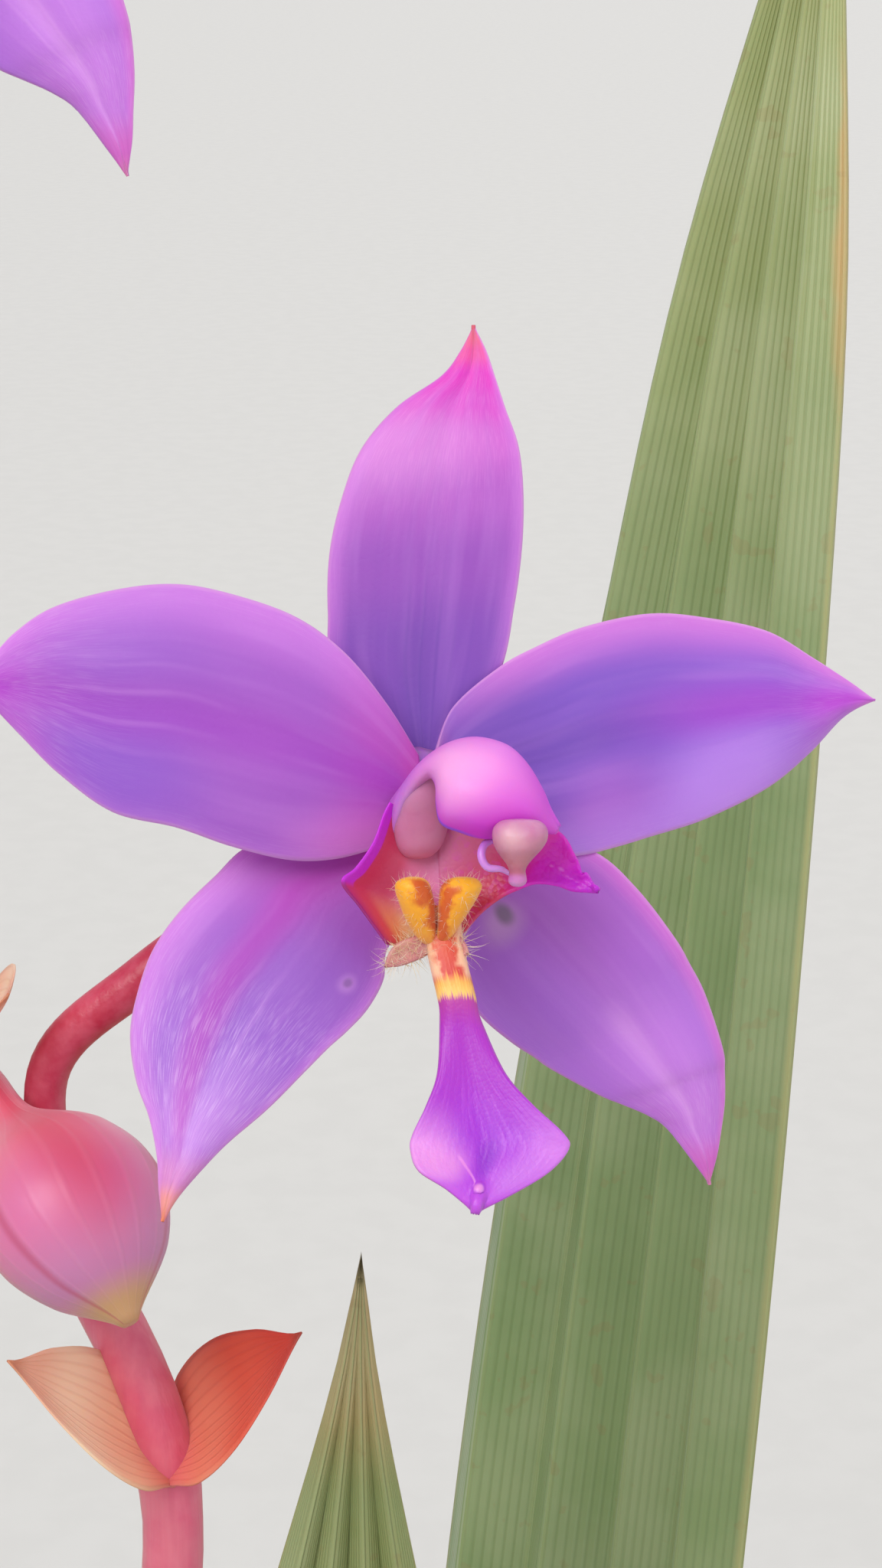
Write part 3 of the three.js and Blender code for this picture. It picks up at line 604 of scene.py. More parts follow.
dorsal_finish = tepal_finish(
    "dorsal_sepal_violet",
    [(0.0, 128, 82, 186), (0.16, 132, 76, 180), (0.3, 152, 80, 184), (0.44, 180, 94, 196),
     (0.58, 208, 104, 206), (0.68, 216, 80, 200), (0.78, 224, 50, 190), (0.88, 234, 76, 158),
     (0.94, 236, 100, 134), (1.0, 226, 92, 110)],
    (PINK_LILAC, 0.14, 0.45), (PINK_LILAC, 0.12, 0.45),
    ((84, 52, 150), 0.5, 0.2, 0.3, -0.1, 0.1), ((84, 52, 156), 11, 0.3, -0.2, 0.15),
    # Pale painted glints for the silk streaks, then the underside's lilac, partly its own and partly painted
    # glow.
    ((250, 170, 236), 0.3, 0.16), (214, 120, 206),
    [((222, 148, 224), (0.3, 0.55, 0.4, 0.1, 0.7), 0.5)])
left_petal_finish = tepal_finish(
    "left_petal_violet",
    [(0.0, 200, 64, 178), (0.1, 184, 80, 188), (0.28, 166, 92, 196), (0.6, 158, 96, 200),
     (0.85, 184, 96, 206), (1.0, 194, 64, 212)],
    (PINK_LILAC, 0.3, 0.55), ((206, 136, 230), 0.1, 0.2),
    ((162, 52, 188), 0.53, 0.24, 0.5, -0.1, 0.98), (PALE_VEIN, 8, 0.14, 0.1, 0.7),
    (PAINTED_GLINT_SILK, 0.5, 0.12), BACK_LILAC_AND_PAINTED_GLOW,
    [((136, 88, 204), (0.8, 0.6, 0.2, 0.12, 0.7), 0.45), ((214, 134, 222), (0.9, 0.2, 0.14, 0.1, 0.7), 0.3),
     ((224, 124, 214), (0.95, 0.14, 0.16, 0.12, 0.8), 0.5),
     ((190, 40, 204), (0.52, 0.97, 0.24, 0.14, 0.7), 0.7)])
right_petal_finish = tepal_finish(
    "right_petal_violet",
    [(0.0, 140, 60, 150), (0.1, 124, 80, 182), (0.4, 130, 86, 194), (0.7, 144, 92, 202),
     (0.88, 184, 100, 212), (1.0, 226, 132, 222)],
    ((220, 124, 216), 0.26, 0.7), ((196, 142, 238), 0.24, 0.5),
    ((98, 60, 164), 0.5, 0.16, 0.35, 0.0, 0.4), ((92, 58, 158), 9, 0.25, -0.2, 0.35),
    (PAINTED_GLINT_SILK, 0.6, 0.1), BACK_LILAC_AND_PAINTED_GLOW,
    [((170, 56, 200), (0.46, 0.74, 0.13, 0.24, 0.8), 0.6), ((188, 44, 206), (0.5, 0.9, 0.2, 0.09, 0.8), 0.6),
     ((196, 144, 240), (0.82, 0.64, 0.2, 0.12, 0.7), 0.65),
     ((186, 108, 204), (0.86, 0.4, 0.22, 0.12, 0.7), 0.5)])
left_sepal_finish = tepal_finish(
    "left_sepal_violet",
    [(0.0, 204, 72, 176), (0.12, 186, 84, 190), (0.35, 162, 94, 198), (0.6, 158, 100, 204),
     (0.78, 182, 116, 212), (0.88, 208, 126, 190), (0.94, 236, 146, 136), (1.0, 240, 126, 90)],
    (PINK_LILAC, 0.22, 0.6), (PINK_LILAC, 0.1, 0.4),
    ((186, 62, 186), 0.38, 0.15, 0.55, -0.1, 0.72), (PALE_VEIN, 8, 0.2, 0.15, 0.7),
    # Pale painted glints for the silk streaks, then the underside's lilac with its painted glow.
    ((246, 214, 250), 0.3, 0.24), BACK_LILAC_AND_PAINTED_GLOW,
    # A painted shade: the darker violet spot on the inner side near the root.
    [((134, 80, 176), (0.8, 0.16, 0.24, 0.2, 0.8), 0.6), ((146, 94, 196), (0.7, 0.45, 0.3, 0.2, 0.7), 0.6),
     ((200, 148, 230), (0.6, 0.72, 0.3, 0.12, 0.7), 0.45),
     ((214, 156, 226), (0.85, 0.305, 0.035, 0.02, 0.8), 0.4),
     ((92, 66, 124), (0.85, 0.302, 0.02, 0.011, 0.6), 0.5)])
right_sepal_finish = tepal_finish(
    "right_sepal_violet",
    [(0.0, 168, 78, 178), (0.15, 174, 98, 200), (0.5, 176, 110, 214), (0.82, 192, 114, 214),
     (0.93, 204, 98, 190), (1.0, 222, 120, 170)],
    ((218, 112, 210), 0.12, 0.7), ((178, 122, 228), 0.18, 0.4),
    ((222, 158, 238), 0.5, 0.12, 0.5, 0.35, 0.85), (PALE_VEIN, 8, 0.2, 0.3, 0.7),
    (PAINTED_GLINT_SILK, 0.5, 0.14), BACK_LILAC_AND_PAINTED_GLOW,
    [((156, 102, 206), (0.82, 0.26, 0.26, 0.2, 0.7), 0.5),
     ((206, 134, 230), (0.42, 0.62, 0.28, 0.2, 0.7), 0.6),
     ((202, 160, 205), (0.62, 0.145, 0.11, 0.03, 0.8), 0.6),
     ((108, 98, 112), (0.585, 0.138, 0.045, 0.018, 0.6), 0.75)])
print("five tepal finishes")

# %% [markdown]
# ## Where a bloom stands
# Every bloom is the same flower with its own centre, heading, roll and size, and some are mirrored so
# that the spray doesn't look copied. The flower is drawn once, in front of the eye, and this step takes
# its points to each bloom's place.

# %% The six blooms
BLOOM_WORDS = ("centre", "heading", "roll", "size", "flip")
BLOOMS = [dict(zip(BLOOM_WORDS, row)) for row in (
    ((20, -12, 520), 0, 0, 1, False), ((-10, -8, 572.5), -24, 6, 1, False),
    ((-44, -12, 538), -68, -5, 0.96, True), ((-36, 34, 562), -142, 4, 0.98, True),
    ((92, -62, 424), 42, -4, 0.98, True), ((44, -66, 436), -16, 5, 0.95, False))]
GRIDS = {  # rows and columns of points: on the bloom in front, and on each of the others
    "tepal": ((96, 49), (44, 25)), "blade": ((110, 41), (56, 21)), "lobe": ((44, 33), (22, 17)),
    "callus": ((40, 32), (22, 18)), "hood": ((56, 61), (28, 31)), "cap": ((46, 36), (26, 18)),
}


def bloom_mover(bloom):
    """Takes places on the flower, in millimetres, to that bloom's place on the plant."""
    turn_there = (Matrix.Rotation(math.radians(bloom["heading"]), 3, "Z")
                  @ Matrix.Rotation(math.pi / 2 - BLOOM_LEAN, 3, "X")
                  @ Matrix.Rotation(math.radians(bloom["roll"]), 3, "Z"))
    matrix = np.array(turn_there) * bloom["size"]

    def move(points):
        points = np.asarray(points, float) * ((-1, 1, 1) if bloom["flip"] else (1, 1, 1))
        return points @ matrix.T + bloom["centre"]
    return move


def grid_for(word, number):
    return GRIDS[word][min(number, 2) - 1]


movers = [bloom_mover(bloom) for bloom in BLOOMS]
print("bloom 1's dorsal tip is at", movers[0]([(2.6, 25, -2.6)]).round(1))

# %% [markdown]
# ## Sepals and petals
# Each was measured as two edges, from its root to its tip, as the eye sees it. A grid between the edges
# gives the blade. Real petals aren't flat: they cup, their margins wave, and a shallow channel follows
# the midrib, so a small relief is added in depth only, and the outline from in front stays as measured.

# %% Outlines, as the eye sees them
DORSAL_SEPAL = {
    "one": [(-1.2, 1.7), (-4.6, 6.6), (-5, 10), (-4.9, 13.2), (-4.2, 16.2), (-3.2, 18.6), (-1.4, 20.7),
            (0.9, 22.3), (1.9, 23.6)],
    "two": [(1.2, 1.7), (3.9, 6.6), (4.75, 10.4), (5.15, 13.6), (5.2, 16.4), (4.95, 18.7), (4.3, 20.6),
            (3.7, 22.4), (3.25, 23.7)],
    "tip": (2.6, 25), "depth": (-0.9, -2.6, -0.2),
}
LEFT_PETAL = {
    "one": [(-0.3, 2.6), (-1.9, 5.2), (-4.1, 7.9), (-6.7, 9.8), (-10.1, 11), (-13, 11.5), (-16.1, 11.2),
            (-19.3, 10.3), (-21.3, 9), (-22.6, 7.6)],
    "two": [(-0.6, -1.8), (-2.1, -2.2), (-4.6, -2.85), (-7, -2.9), (-10, -2.2), (-12.9, -1.2), (-16.2, -0.4),
            (-19, 1.6), (-20.9, 3.5), (-22.3, 5)],
    "tip": (-23.6, 6.5), "depth": (0.9, 7, -0.9),
}
RIGHT_PETAL = {
    "one": [(0.6, 2.6), (1.5, 5), (3.9, 7.1), (5.9, 8.2), (8.3, 9.2), (11.7, 9.9), (14.7, 9.7), (17.9, 9),
            (20.3, 7.6), (22.3, 6.3)],
    "two": [(1, -1.5), (3, -2.3), (5.5, -2.8), (8.1, -2.7), (9.9, -2.3), (11.9, -1.7), (14.7, -0.8),
            (17.9, 0.8), (20.1, 2.6), (21.9, 4.5)],
    "tip": (23.5, 5.4), "depth": (0.9, -6, -0.9),
}
LEFT_SEPAL = {
    "one": [(-1.8, -0.8), (-6, -1.6), (-9.1, -2.2), (-10.9, -3.8), (-12.7, -5.6), (-14.1, -7.6),
            (-14.9, -9.8), (-15.3, -12), (-15, -14.4), (-14.3, -16.4), (-13.9, -18.4), (-13.8, -20.2)],
    "two": [(-0.6, -2.6), (-0.5, -5.6), (-1.9, -7.6), (-2.1, -9.2), (-2.9, -10.7), (-3.9, -11.8),
            (-4.9, -12.7), (-6.1, -13.9), (-8.1, -15.9), (-10.1, -17.6), (-11.3, -18.8), (-12.7, -20.4)],
    "tip": (-13.6, -21.8), "depth": (-0.6, 4.5, -0.8),
}
RIGHT_SEPAL = {
    "one": [(1.5, -0.8), (5.5, -1.6), (8.9, -2.5), (11.1, -4.4), (13.1, -7), (13.9, -8.4), (14.7, -10),
            (15.6, -12.8), (15.7, -14), (15.7, -15.6), (15.5, -17.2), (15.3, -18.4)],
    "two": [(0.8, -2.6), (1.2, -6.2), (1.8, -9.2), (2.9, -11), (4.5, -12.4), (5.7, -13.2), (6.7, -13.9),
            (9.1, -15.2), (10.3, -15.7), (11.7, -16.3), (12.7, -17), (14.1, -18.8)],
    "tip": (14.9, -19.9), "depth": (-0.8, -6, -0.8),
}


def seen(flat, forward):
    """Moves places toward the eye, so that they still look to be where they were."""
    return np.concatenate([flat * (1 - forward / VIEW_DISTANCE)[..., None], forward[..., None]], -1)


def blade_grid(outline, rows, columns, relief=None):
    """Middle points of a blade between its two edges, and its place across and along."""
    share = np.linspace(0, 1, rows)
    one, two = (outline_curve([*outline[edge], outline["tip"]], share) for edge in ("one", "two"))
    place = np.linspace(-1, 1, columns)[None, :]
    along = share[:, None] + 0 * place
    flat = one[:, None] + (two - one)[:, None] * ((place[..., None] + 1) / 2)
    root, end, curl = outline["depth"]
    forward = root + (end - root) * along + curl * (place**2 - 0.5) * np.sin(np.pi * along)
    if relief:
        forward = forward + relief(place, along)
    return seen(flat, forward), place + 0 * along, along


def petal_relief(phase):
    """A shallow channel on the midrib, a slow cup, and margins that wave a little."""
    def relief(place, along):
        taper = np.sin(np.pi * np.clip(along, 0, 1)) ** 0.7
        midrib = -0.22 * np.exp(-(place / 0.2) ** 2)
        wave = 0.24 * np.abs(place) ** 3 * np.sin(6.5 * along + phase + 1.2 * np.sign(place))
        return taper * (midrib + wave + 0.2 * np.sin(4 * along + 2 * place + phase))
    return relief


def petal_thickness(place, along):
    """Thick at the root and the midrib, thin at the margin."""
    body = 0.34 + 0.3 * (1 - along) ** 3 + 0.16 * np.exp(-(place / 0.2) ** 2)
    return body * (1 - 0.72 * np.abs(place) ** 5) * (1 - 0.5 * along**8)


print("dorsal sepal is", round(DORSAL_SEPAL["tip"][1] - DORSAL_SEPAL["one"][0][1], 1), "mm long")

# %% Make the tepals of every bloom
TEPALS = {  # each blade's outline, finish and the phase of its waves
    "dorsal_sepal": [(DORSAL_SEPAL, dorsal_finish, 0.4)],
    "petals": [(LEFT_PETAL, left_petal_finish, 1.7), (RIGHT_PETAL, right_petal_finish, 3.1)],
    "side_sepals": [(LEFT_SEPAL, left_sepal_finish, 2.6), (RIGHT_SEPAL, right_sepal_finish, 0.9)],
}
PHASE_STEP = 0.7

for number, move in enumerate(movers, start=1):
    rows, columns = grid_for("tepal", number)
    for word, blades in TEPALS.items():
        tissue = Tissue()
        for outline, finish, phase in blades:
            relief = petal_relief(phase + PHASE_STEP * number)
            middle, place, along = blade_grid(outline, rows, columns, relief)
            tissue.sheet(middle, petal_thickness(place, along), finish)
        tissue.piece(f"bloom_{number}_{word}", "tepal", f"bloom_{number}_tepals", move=move)

# %% [markdown]
# ## Receptacle
# Behind the petals the ovary swells into a small cup that carries them. It is a round body with six
# shallow ribs, green turning to violet, where a plain cone would look turned on a lathe.

# %% Receptacle
skin = receptacle_finish = Finish("receptacle_skin", Roughness=0.5, Subsurface_Weight=0.1,
                                  Subsurface_Scale=0.001)
skin.base(skin.along, [(0.0, 176, 70, 110), (0.5, 170, 86, 160), (1.0, 158, 96, 200)])
skin.over((150, 160, 110), skin.mottle(0.0012), 0.3)
skin.domed(0.0002, 0.3, 0.00005)

CUP_RINGS = 18
CUP_SIDES = 24
CUP_RADII = [1.7, 2.4, 3.0, 2.4]
CUP_ROUNDING = (0.85, 0.6, 0.25)


def six_ribs(angles, share):
    return 1 + 0.05 * np.cos(6 * angles)


path = space_curve([(0, 0, -4), (0, 0, -2), (0, 0, 0), (0, 0, 1.3)], CUP_RINGS)
radii = outline_curve(CUP_RADII, np.linspace(0, 1, CUP_RINGS))
radii[-len(CUP_ROUNDING):] *= CUP_ROUNDING
for number, move in enumerate(movers, start=1):
    tissue = Tissue()
    tissue.tube(path, radii, CUP_SIDES, receptacle_finish, wave=six_ribs)
    tissue.piece(f"bloom_{number}_receptacle", "tepal", f"bloom_{number}_tepals", move=move)

# %% [markdown]
# ## The lip
# The lip is the petal that insects land on. Its two side lobes stand up beside the column, a narrow claw
# runs down from between them, and the claw spreads into a blade with a folded ridge and a small knob.
# Each part has its own pair of edges, and one chart, so its bands of coral, yellow and magenta lie
# across it where the real ones do.

# %% Lip finishes
lip_skin = {"Roughness": 0.36, "Subsurface_Weight": 0.14, "Subsurface_Scale": 0.001,
            "Sheen_Weight": 0.1, "Specular_IOR_Level": 0.5}

skin = blade_finish = Finish("lip_blade_magenta", **lip_skin)
combed = skin.silk(24.0, 7.0)
ragged = skin.scaled(skin.maths("SUBTRACT", skin.silk(30.0, 3.0), 0.5), 0.02)
dip = skin.scaled(skin.maths("POWER", skin.off_middle, 2.0), -0.012)
edge_of_band = skin.maths("ADD", skin.maths("ADD", skin.along, ragged), dip)
skin.base(edge_of_band, [
    (0.0, 236, 140, 60), (0.07, 222, 92, 58), (0.145, 214, 72, 66), (0.162, 248, 178, 84),
    (0.19, 252, 206, 110), (0.206, 186, 56, 160), (0.3, 172, 34, 190), (0.6, 166, 40, 208),
    (0.82, 178, 60, 216), (1.0, 194, 80, 220)], "LINEAR")
blotch = skin.maths("ADD", skin.off_middle, skin.scaled(skin.mottle(0.0007), 0.3))
skin.over((250, 196, 160), skin.smooth(blotch, 0.42, 0.8), skin.fade(skin.along, 0.15, 0.175))
skin.spots([
    ((232, 150, 226), (0.03, 0.7, 0.24, 0.14, 0.8), 0.85),
    ((214, 130, 228), (0.98, 0.7, 0.22, 0.14, 0.8), 0.8),
    ((232, 150, 222), (0.18, 0.78, 0.16, 0.06, 0.8), 0.7),
    ((196, 112, 222), (0.8, 0.84, 0.18, 0.08, 0.8), 0.7),
    ((156, 24, 206), (0.48, 0.62, 0.16, 0.12, 0.9), 0.5),
    ((136, 0, 192), (0.49, 0.75, 0.07, 0.1, 0.9), 0.85),
    ((240, 160, 220), (0.49, 0.885, 0.02, 0.009, 0.8), 0.8)])
slant = skin.maths("MULTIPLY_ADD", skin.along, 1.05, -0.47)
off_fold = skin.maths("ABSOLUTE", skin.maths("SUBTRACT", skin.across, slant))
fold_reach = skin.between(skin.along, 0.72, 0.76, 0.87, 0.89)
skin.over((240, 150, 226), skin.fade(off_fold, 0.004, 0.02), fold_reach, 0.6)
skin.over((214, 104, 236), combed, skin.smooth(skin.along, 0.2, 0.5), 0.14)
skin.over((204, 100, 214), skin.reads("under"), 0.6)
skin.dull(combed, 0.46, 0.36)
skin.emboss(combed, 0.12, 0.0001)
skin.domed(0.00018, 0.25, 0.00004)

skin = left_lobe_finish = Finish("left_lobe_crimson", **lip_skin)
# Painted light: the run's root end beneath the column's flank, and the peach run over the lower part, are
# lighter than the lobe's own colours, against the shade there.
skin.base(skin.along, [
    (0.0, 224, 138, 190), (0.4, 220, 120, 168), (0.62, 212, 80, 122), (0.84, 208, 48, 98),
    (1.0, 196, 30, 126)])
low = skin.run(skin.along, [
    (0.0, 255, 224, 150), (0.45, 255, 212, 140), (0.68, 246, 160, 104), (0.84, 222, 76, 88),
    (1.0, 184, 34, 110)])
skin.over(low, skin.smooth(skin.across, 0.62, 0.98))
skin.over((150, 20, 120), skin.smooth(skin.along, 0.95, 0.985), 0.9)
skin.over((200, 26, 216), skin.smooth(skin.along, 0.885, 0.905), skin.fade(skin.across, 0.62, 0.7))
skin.domed(0.00018, 0.25, 0.00004)

skin = right_lobe_finish = Finish("right_lobe_magenta", **lip_skin)
skin.base(skin.along, [
    (0.0, 218, 122, 172), (0.2, 214, 98, 146), (0.34, 214, 60, 126), (0.46, 222, 30, 168),
    (0.56, 222, 16, 200), (0.8, 212, 22, 216), (1.0, 198, 22, 214)])
skin.spots([
    ((206, 44, 70), (0.92, 0.22, 0.4, 0.2, 0.8), 0.75), ((240, 150, 240), (0.42, 0.66, 0.05, 0.02, 0.8), 0.5),
    ((240, 150, 240), (0.5, 0.6, 0.03, 0.012, 0.8), 0.35)])
skin.over((226, 60, 222), skin.cells(0.00025)["Glint"], 0.2)
skin.domed(0.00022, 0.45, 0.00006)

skin = auricle_finish = Finish("auricle_peach", **lip_skin)
skin.base(skin.mottle(0.0008), [(0.0, 198, 126, 130), (1.0, 212, 152, 142)])
print("four lip finishes")

# %% Lip shapes
LIP_BLADE = {
    "one": [(0, -5.4), (0.28, -7.6), (0.76, -10), (0.92, -11.6), (0.8, -14), (0.2, -15.7), (-0.52, -17.2),
            (-0.64, -18), (-0.2, -19.1), (1.3, -20.1)],
    "two": [(1.8, -5.4), (2.08, -7.6), (2.72, -10), (3.16, -11.6), (4.28, -14), (5.68, -15.6), (7.4, -17.2),
            (7.64, -18), (6.6, -19.2), (4.6, -20.4)],
    "tip": (2.76, -21.3), "depth": (3.4, 8.6, 0.5),
}
RIGHT_LOBE = {
    "one": [(0.7, -0.8), (2.2, -0.7), (3.8, -0.7), (5.5, -0.9), (7.05, -1.36), (7.9, -2.6), (8.3, -3.5),
            (8.8, -3.9)],
    "two": [(1, -7.1), (2, -6.8), (3, -5.7), (4, -4.9), (5, -4.4), (5.9, -4.1), (7, -4.2), (7.9, -4.5)],
    "tip": (9.15, -4.5), "depth": (3.4, 4.6, 0.7),
}
LEFT_LOBE_ROOT = [(0.9, -1.3), (0.95, -2.4), (1, -3.6), (1, -4.7), (1, -5.7), (0.9, -6.7), (0.7, -7.6)]
LEFT_LOBE_MARGIN = [(-1.72, 0.12), (-2.04, -0.5), (-2.6, -2), (-3.5, -3.3), (-4.24, -4.04), (-3.3, -5.36),
                    (-1.9, -7.3)]
LEFT_LOBE_DEPTH = [5.0, 5.1, 5.5, 5.9, 6.2, 5.6, 4.8]
LEFT_AURICLE = {
    "one": [(0.4, -6.6), (-0.7, -7), (-1.4, -7.35), (-1.8, -7.9)],
    "two": [(0.6, -7.5), (0.1, -7.9), (-0.6, -8.2), (-1.3, -8.42)],
    "tip": (-1.95, -8.45), "depth": (4.3, 5.1, 0.3),
}
RIGHT_AURICLE = {
    "one": [(1.2, -6.4), (1.7, -6.7), (2.05, -7.1), (2.25, -7.4)],
    "two": [(1.1, -7.2), (1.5, -7.6), (1.8, -7.85), (2.05, -7.9)],
    "tip": (2.35, -7.8), "depth": (4.3, 4.9, 0.3),
}

LOBE_ROOT_DEPTH = 3.3
BLADE_DOWN = [0, 0.138, 0.289, 0.39, 0.541, 0.645, 0.742, 0.792, 0.865, 0.934, 1]


def left_lobe_grid(rows, columns):
    """The left side lobe, from its root beside the callus out to its margin, cupped toward the eye."""
    turn_share = np.linspace(0, 1, columns)
    root, margin, depth = (outline_curve(line, turn_share)[None]
                           for line in (LEFT_LOBE_ROOT, LEFT_LOBE_MARGIN, LEFT_LOBE_DEPTH))
    out = np.linspace(0, 1, rows)[:, None]
    flat = root + (margin - root) * out[..., None]
    forward = LOBE_ROOT_DEPTH + (depth - LOBE_ROOT_DEPTH) * out**2.2 - 0.3 * np.sin(np.pi * out)
    return seen(flat, forward)


def blade_relief(place, along):
    """The claw is a rounded strap; the blade has a hollow, a slanted fold, a knob and waved margins.

    BLADE_DOWN is how far down each measured pair of edge places lies, so that the blade comes evenly
    toward the eye although the places aren't evenly spaced."""
    claw = 0.5 * (1 - place**2) * np.exp(-(along / 0.3) ** 4)
    hollow = -0.1 * np.exp(-((place + 0.06) / 0.2) ** 2) * np.exp(-((along - 0.66) / 0.15) ** 2)
    past_fold = (place - 2.1 * along + 1.94) / 0.08
    fold = 0.16 / (1 + np.exp(past_fold)) * np.exp(-((along - 0.82) / 0.06) ** 2)
    knob = 0.34 * np.exp(-((place + 0.02) / 0.07) ** 2 - ((along - 0.885) / 0.016) ** 2)
    keel = 0.5 * np.exp(-((place - 0.02) / 0.2) ** 2 - ((along - 0.95) / 0.06) ** 2)
    wave = 0.2 * place**2 * np.sin(11 * along + 2 * np.sign(place)) * np.exp(-((along - 0.72) / 0.22) ** 2)
    rise = LIP_BLADE["depth"][1] - LIP_BLADE["depth"][0]
    even = rise * (outline_curve(BLADE_DOWN, along[:, 0])[:, None] - along)
    return claw + hollow + fold + knob + keel + wave + even


def rippled(place, along):
    """The right side lobe ripples along its upper edge."""
    return 0.2 * np.sin(34 * along) * np.exp(-((place + 1) / 0.35) ** 2) * np.clip(3 * along - 1, 0, 1)


def upper_teeth(place, along):
    """Fine uneven teeth on the right side lobe's upper edge."""
    teeth = np.sin(48 * along) + 0.6 * np.sin(31 * along + 1)
    return 0.07 * teeth * np.exp(-((place + 1) / 0.3) ** 2) * np.clip(4 * along - 1.6, 0, 1)


def thin_margin(place, share):
    """Tissue that thins from its middle to its margins by a share of its thickness."""
    return 1 - share * np.abs(place) ** 4


print("left lobe reaches", max(LEFT_LOBE_DEPTH), "mm toward the eye")

# %% Make every lip
AURICLE_GRID = (20, 13)
auricle_pieces = []
for number, move in enumerate(movers, start=1):
    tissue = Tissue()
    middle, place, along = blade_grid(LIP_BLADE, *grid_for("blade", number), blade_relief)
    thickness = 0.45 + 0.75 * np.exp(-(along / 0.42) ** 4)
    tissue.sheet(middle, thickness * thin_margin(place, 0.72), blade_finish)
    rows, columns = grid_for("lobe", number)
    middle, place, along = blade_grid(RIGHT_LOBE, rows, columns, rippled)
    middle[..., 1] += upper_teeth(place, along)
    tissue.sheet(middle, 0.4 * thin_margin(place, 0.6), right_lobe_finish)
    out = np.linspace(0, 1, columns)[:, None] + np.zeros((1, rows))
    tissue.sheet(left_lobe_grid(columns, rows), 0.42 - 0.34 * out**3, left_lobe_finish)
    tissue.piece(f"bloom_{number}_lip", "lip", f"bloom_{number}_lip", move=move)
    tissue = Tissue()
    for auricle in (LEFT_AURICLE, RIGHT_AURICLE):
        middle, place, along = blade_grid(auricle, *AURICLE_GRID)
        tissue.sheet(middle, (0.5 - 0.3 * along) * thin_margin(place, 0.6), auricle_finish)
    auricle_pieces.append(tissue.piece(f"bloom_{number}_auricles", "lip", f"bloom_{number}_lip", move=move))

# %% [markdown]
# ## The callus
# Two swollen lobes stand in a V where the side lobes meet. They are orange-yellow with rust patches in
# the groove, and covered in short pale hairs. The lobes are round bodies along a short path; hairs that
# repeat over a surface are work for Geometry Nodes, in the next step.

# %% Callus lobes


def callus_finish(name, groove):
    """Orange skin with rust in the groove, which faces the other lobe at that place on the chart."""
    skin = Finish(name, Roughness=0.5, Subsurface_Weight=0.2, Subsurface_Scale=0.0008, Sheen_Weight=0.25)
    skin.base(skin.along, [
        (0.0, 255, 200, 60), (0.2, 255, 184, 26), (0.65, 250, 170, 24), (1.0, 240, 160, 70)])
    drift = skin.scaled(skin.maths("SUBTRACT", skin.along, 0.5), 0.22)
    off_groove = skin.maths("ABSOLUTE", skin.maths("SUBTRACT", skin.maths("ADD", skin.across, drift), groove))
    rough_edge = skin.scaled(skin.maths("SUBTRACT", skin.mottle(0.0009, 4.0), 0.5), 0.16)
    ragged = skin.maths("ADD", off_groove, rough_edge)
    reach = skin.between(skin.along, 0.08, 0.25, 0.85, 1.0)
    skin.over((206, 76, 14), skin.fade(ragged, 0.03, 0.16), reach, 0.9)
    # A painted highlight: yellow laid on the lobes away from the groove, over the orange-yellow base.
    skin.over((252, 196, 60), skin.smooth(ragged, 0.3, 0.5), 0.5)
    skin.emboss(skin.mottle(0.0003), 0.3, 0.00006)
    return skin


def slice_rings(slices, count, sides, cleft=0.0):
    """Level slices down a small body: each is its level, its middle across and forward, and half sizes.

    cleft is how deep the dent is at the top of its front."""
    level, middle, forward, wide, deep = outline_curve(slices, np.linspace(0, 1, count)).T
    angles = np.linspace(0, 2 * np.pi, sides, endpoint=False)
    dent = 1 - cleft * np.exp(-((angles - np.pi / 2) / 0.35) ** 2)[None] * np.clip(
        1.2 - np.abs(level[:, None] - level[0] + 0.4), 0, 1)
    x = middle[:, None] + np.maximum(wide, 0.05)[:, None] * np.cos(angles) * dent
    z = forward[:, None] + np.maximum(deep, 0.05)[:, None] * np.sin(angles) * dent
    shrink = 1 - z / VIEW_DISTANCE
    return np.stack([x * shrink, level[:, None] * shrink, z], -1)


CALLUS_LEFT = [(-3.76, -0.5, 5.6, 0.2, 0.2), (-3.86, -0.52, 5.6, 0.6, 0.55), (-4.1, -0.54, 5.6, 0.88, 0.8),
               (-4.5, -0.48, 5.6, 0.96, 0.9), (-5.2, -0.3, 5.5, 0.92, 0.85), (-6.2, -0.06, 5.1, 0.74, 0.7),
               (-7.1, 0.24, 4.6, 0.42, 0.45), (-7.4, 0.4, 4.3, 0.1, 0.1)]
CALLUS_RIGHT = [(-3.76, 2.1, 5.6, 0.2, 0.2), (-3.86, 2.1, 5.6, 0.7, 0.55), (-4.15, 2.06, 5.6, 1.02, 0.8),
                (-4.5, 1.96, 5.6, 1.08, 0.9), (-5.2, 1.74, 5.5, 0.92, 0.85), (-6.2, 1.4, 5.1, 0.62, 0.7),
                (-7.1, 1.06, 4.6, 0.34, 0.45), (-7.4, 0.9, 4.3, 0.1, 0.1)]
CALLUS_LOBES = [(CALLUS_LEFT, callus_finish("callus_left_orange", 0.12)),
                (CALLUS_RIGHT, callus_finish("callus_right_orange", 0.4))]
callus_pieces = []
for number, move in enumerate(movers, start=1):
    tissue = Tissue()
    for slices, finish in CALLUS_LOBES:
        tissue.round_body(slice_rings(slices, *grid_for("callus", number)), finish)
    node = f"bloom_{number}_callus"
    callus_pieces.append(tissue.piece(node, "callus", node, move=move))

# %% [markdown]
# ## Hairs by Geometry Nodes
# A hair is a thin bent cone. Distribute Points on Faces puts one at each of many places, the surface
# normal points it outward, and a random turn and length keep it from looking combed. The tree ends in
# Realize Instances and Set Material, so what comes out is plain mesh that an export keeps.

# %% Hair tree


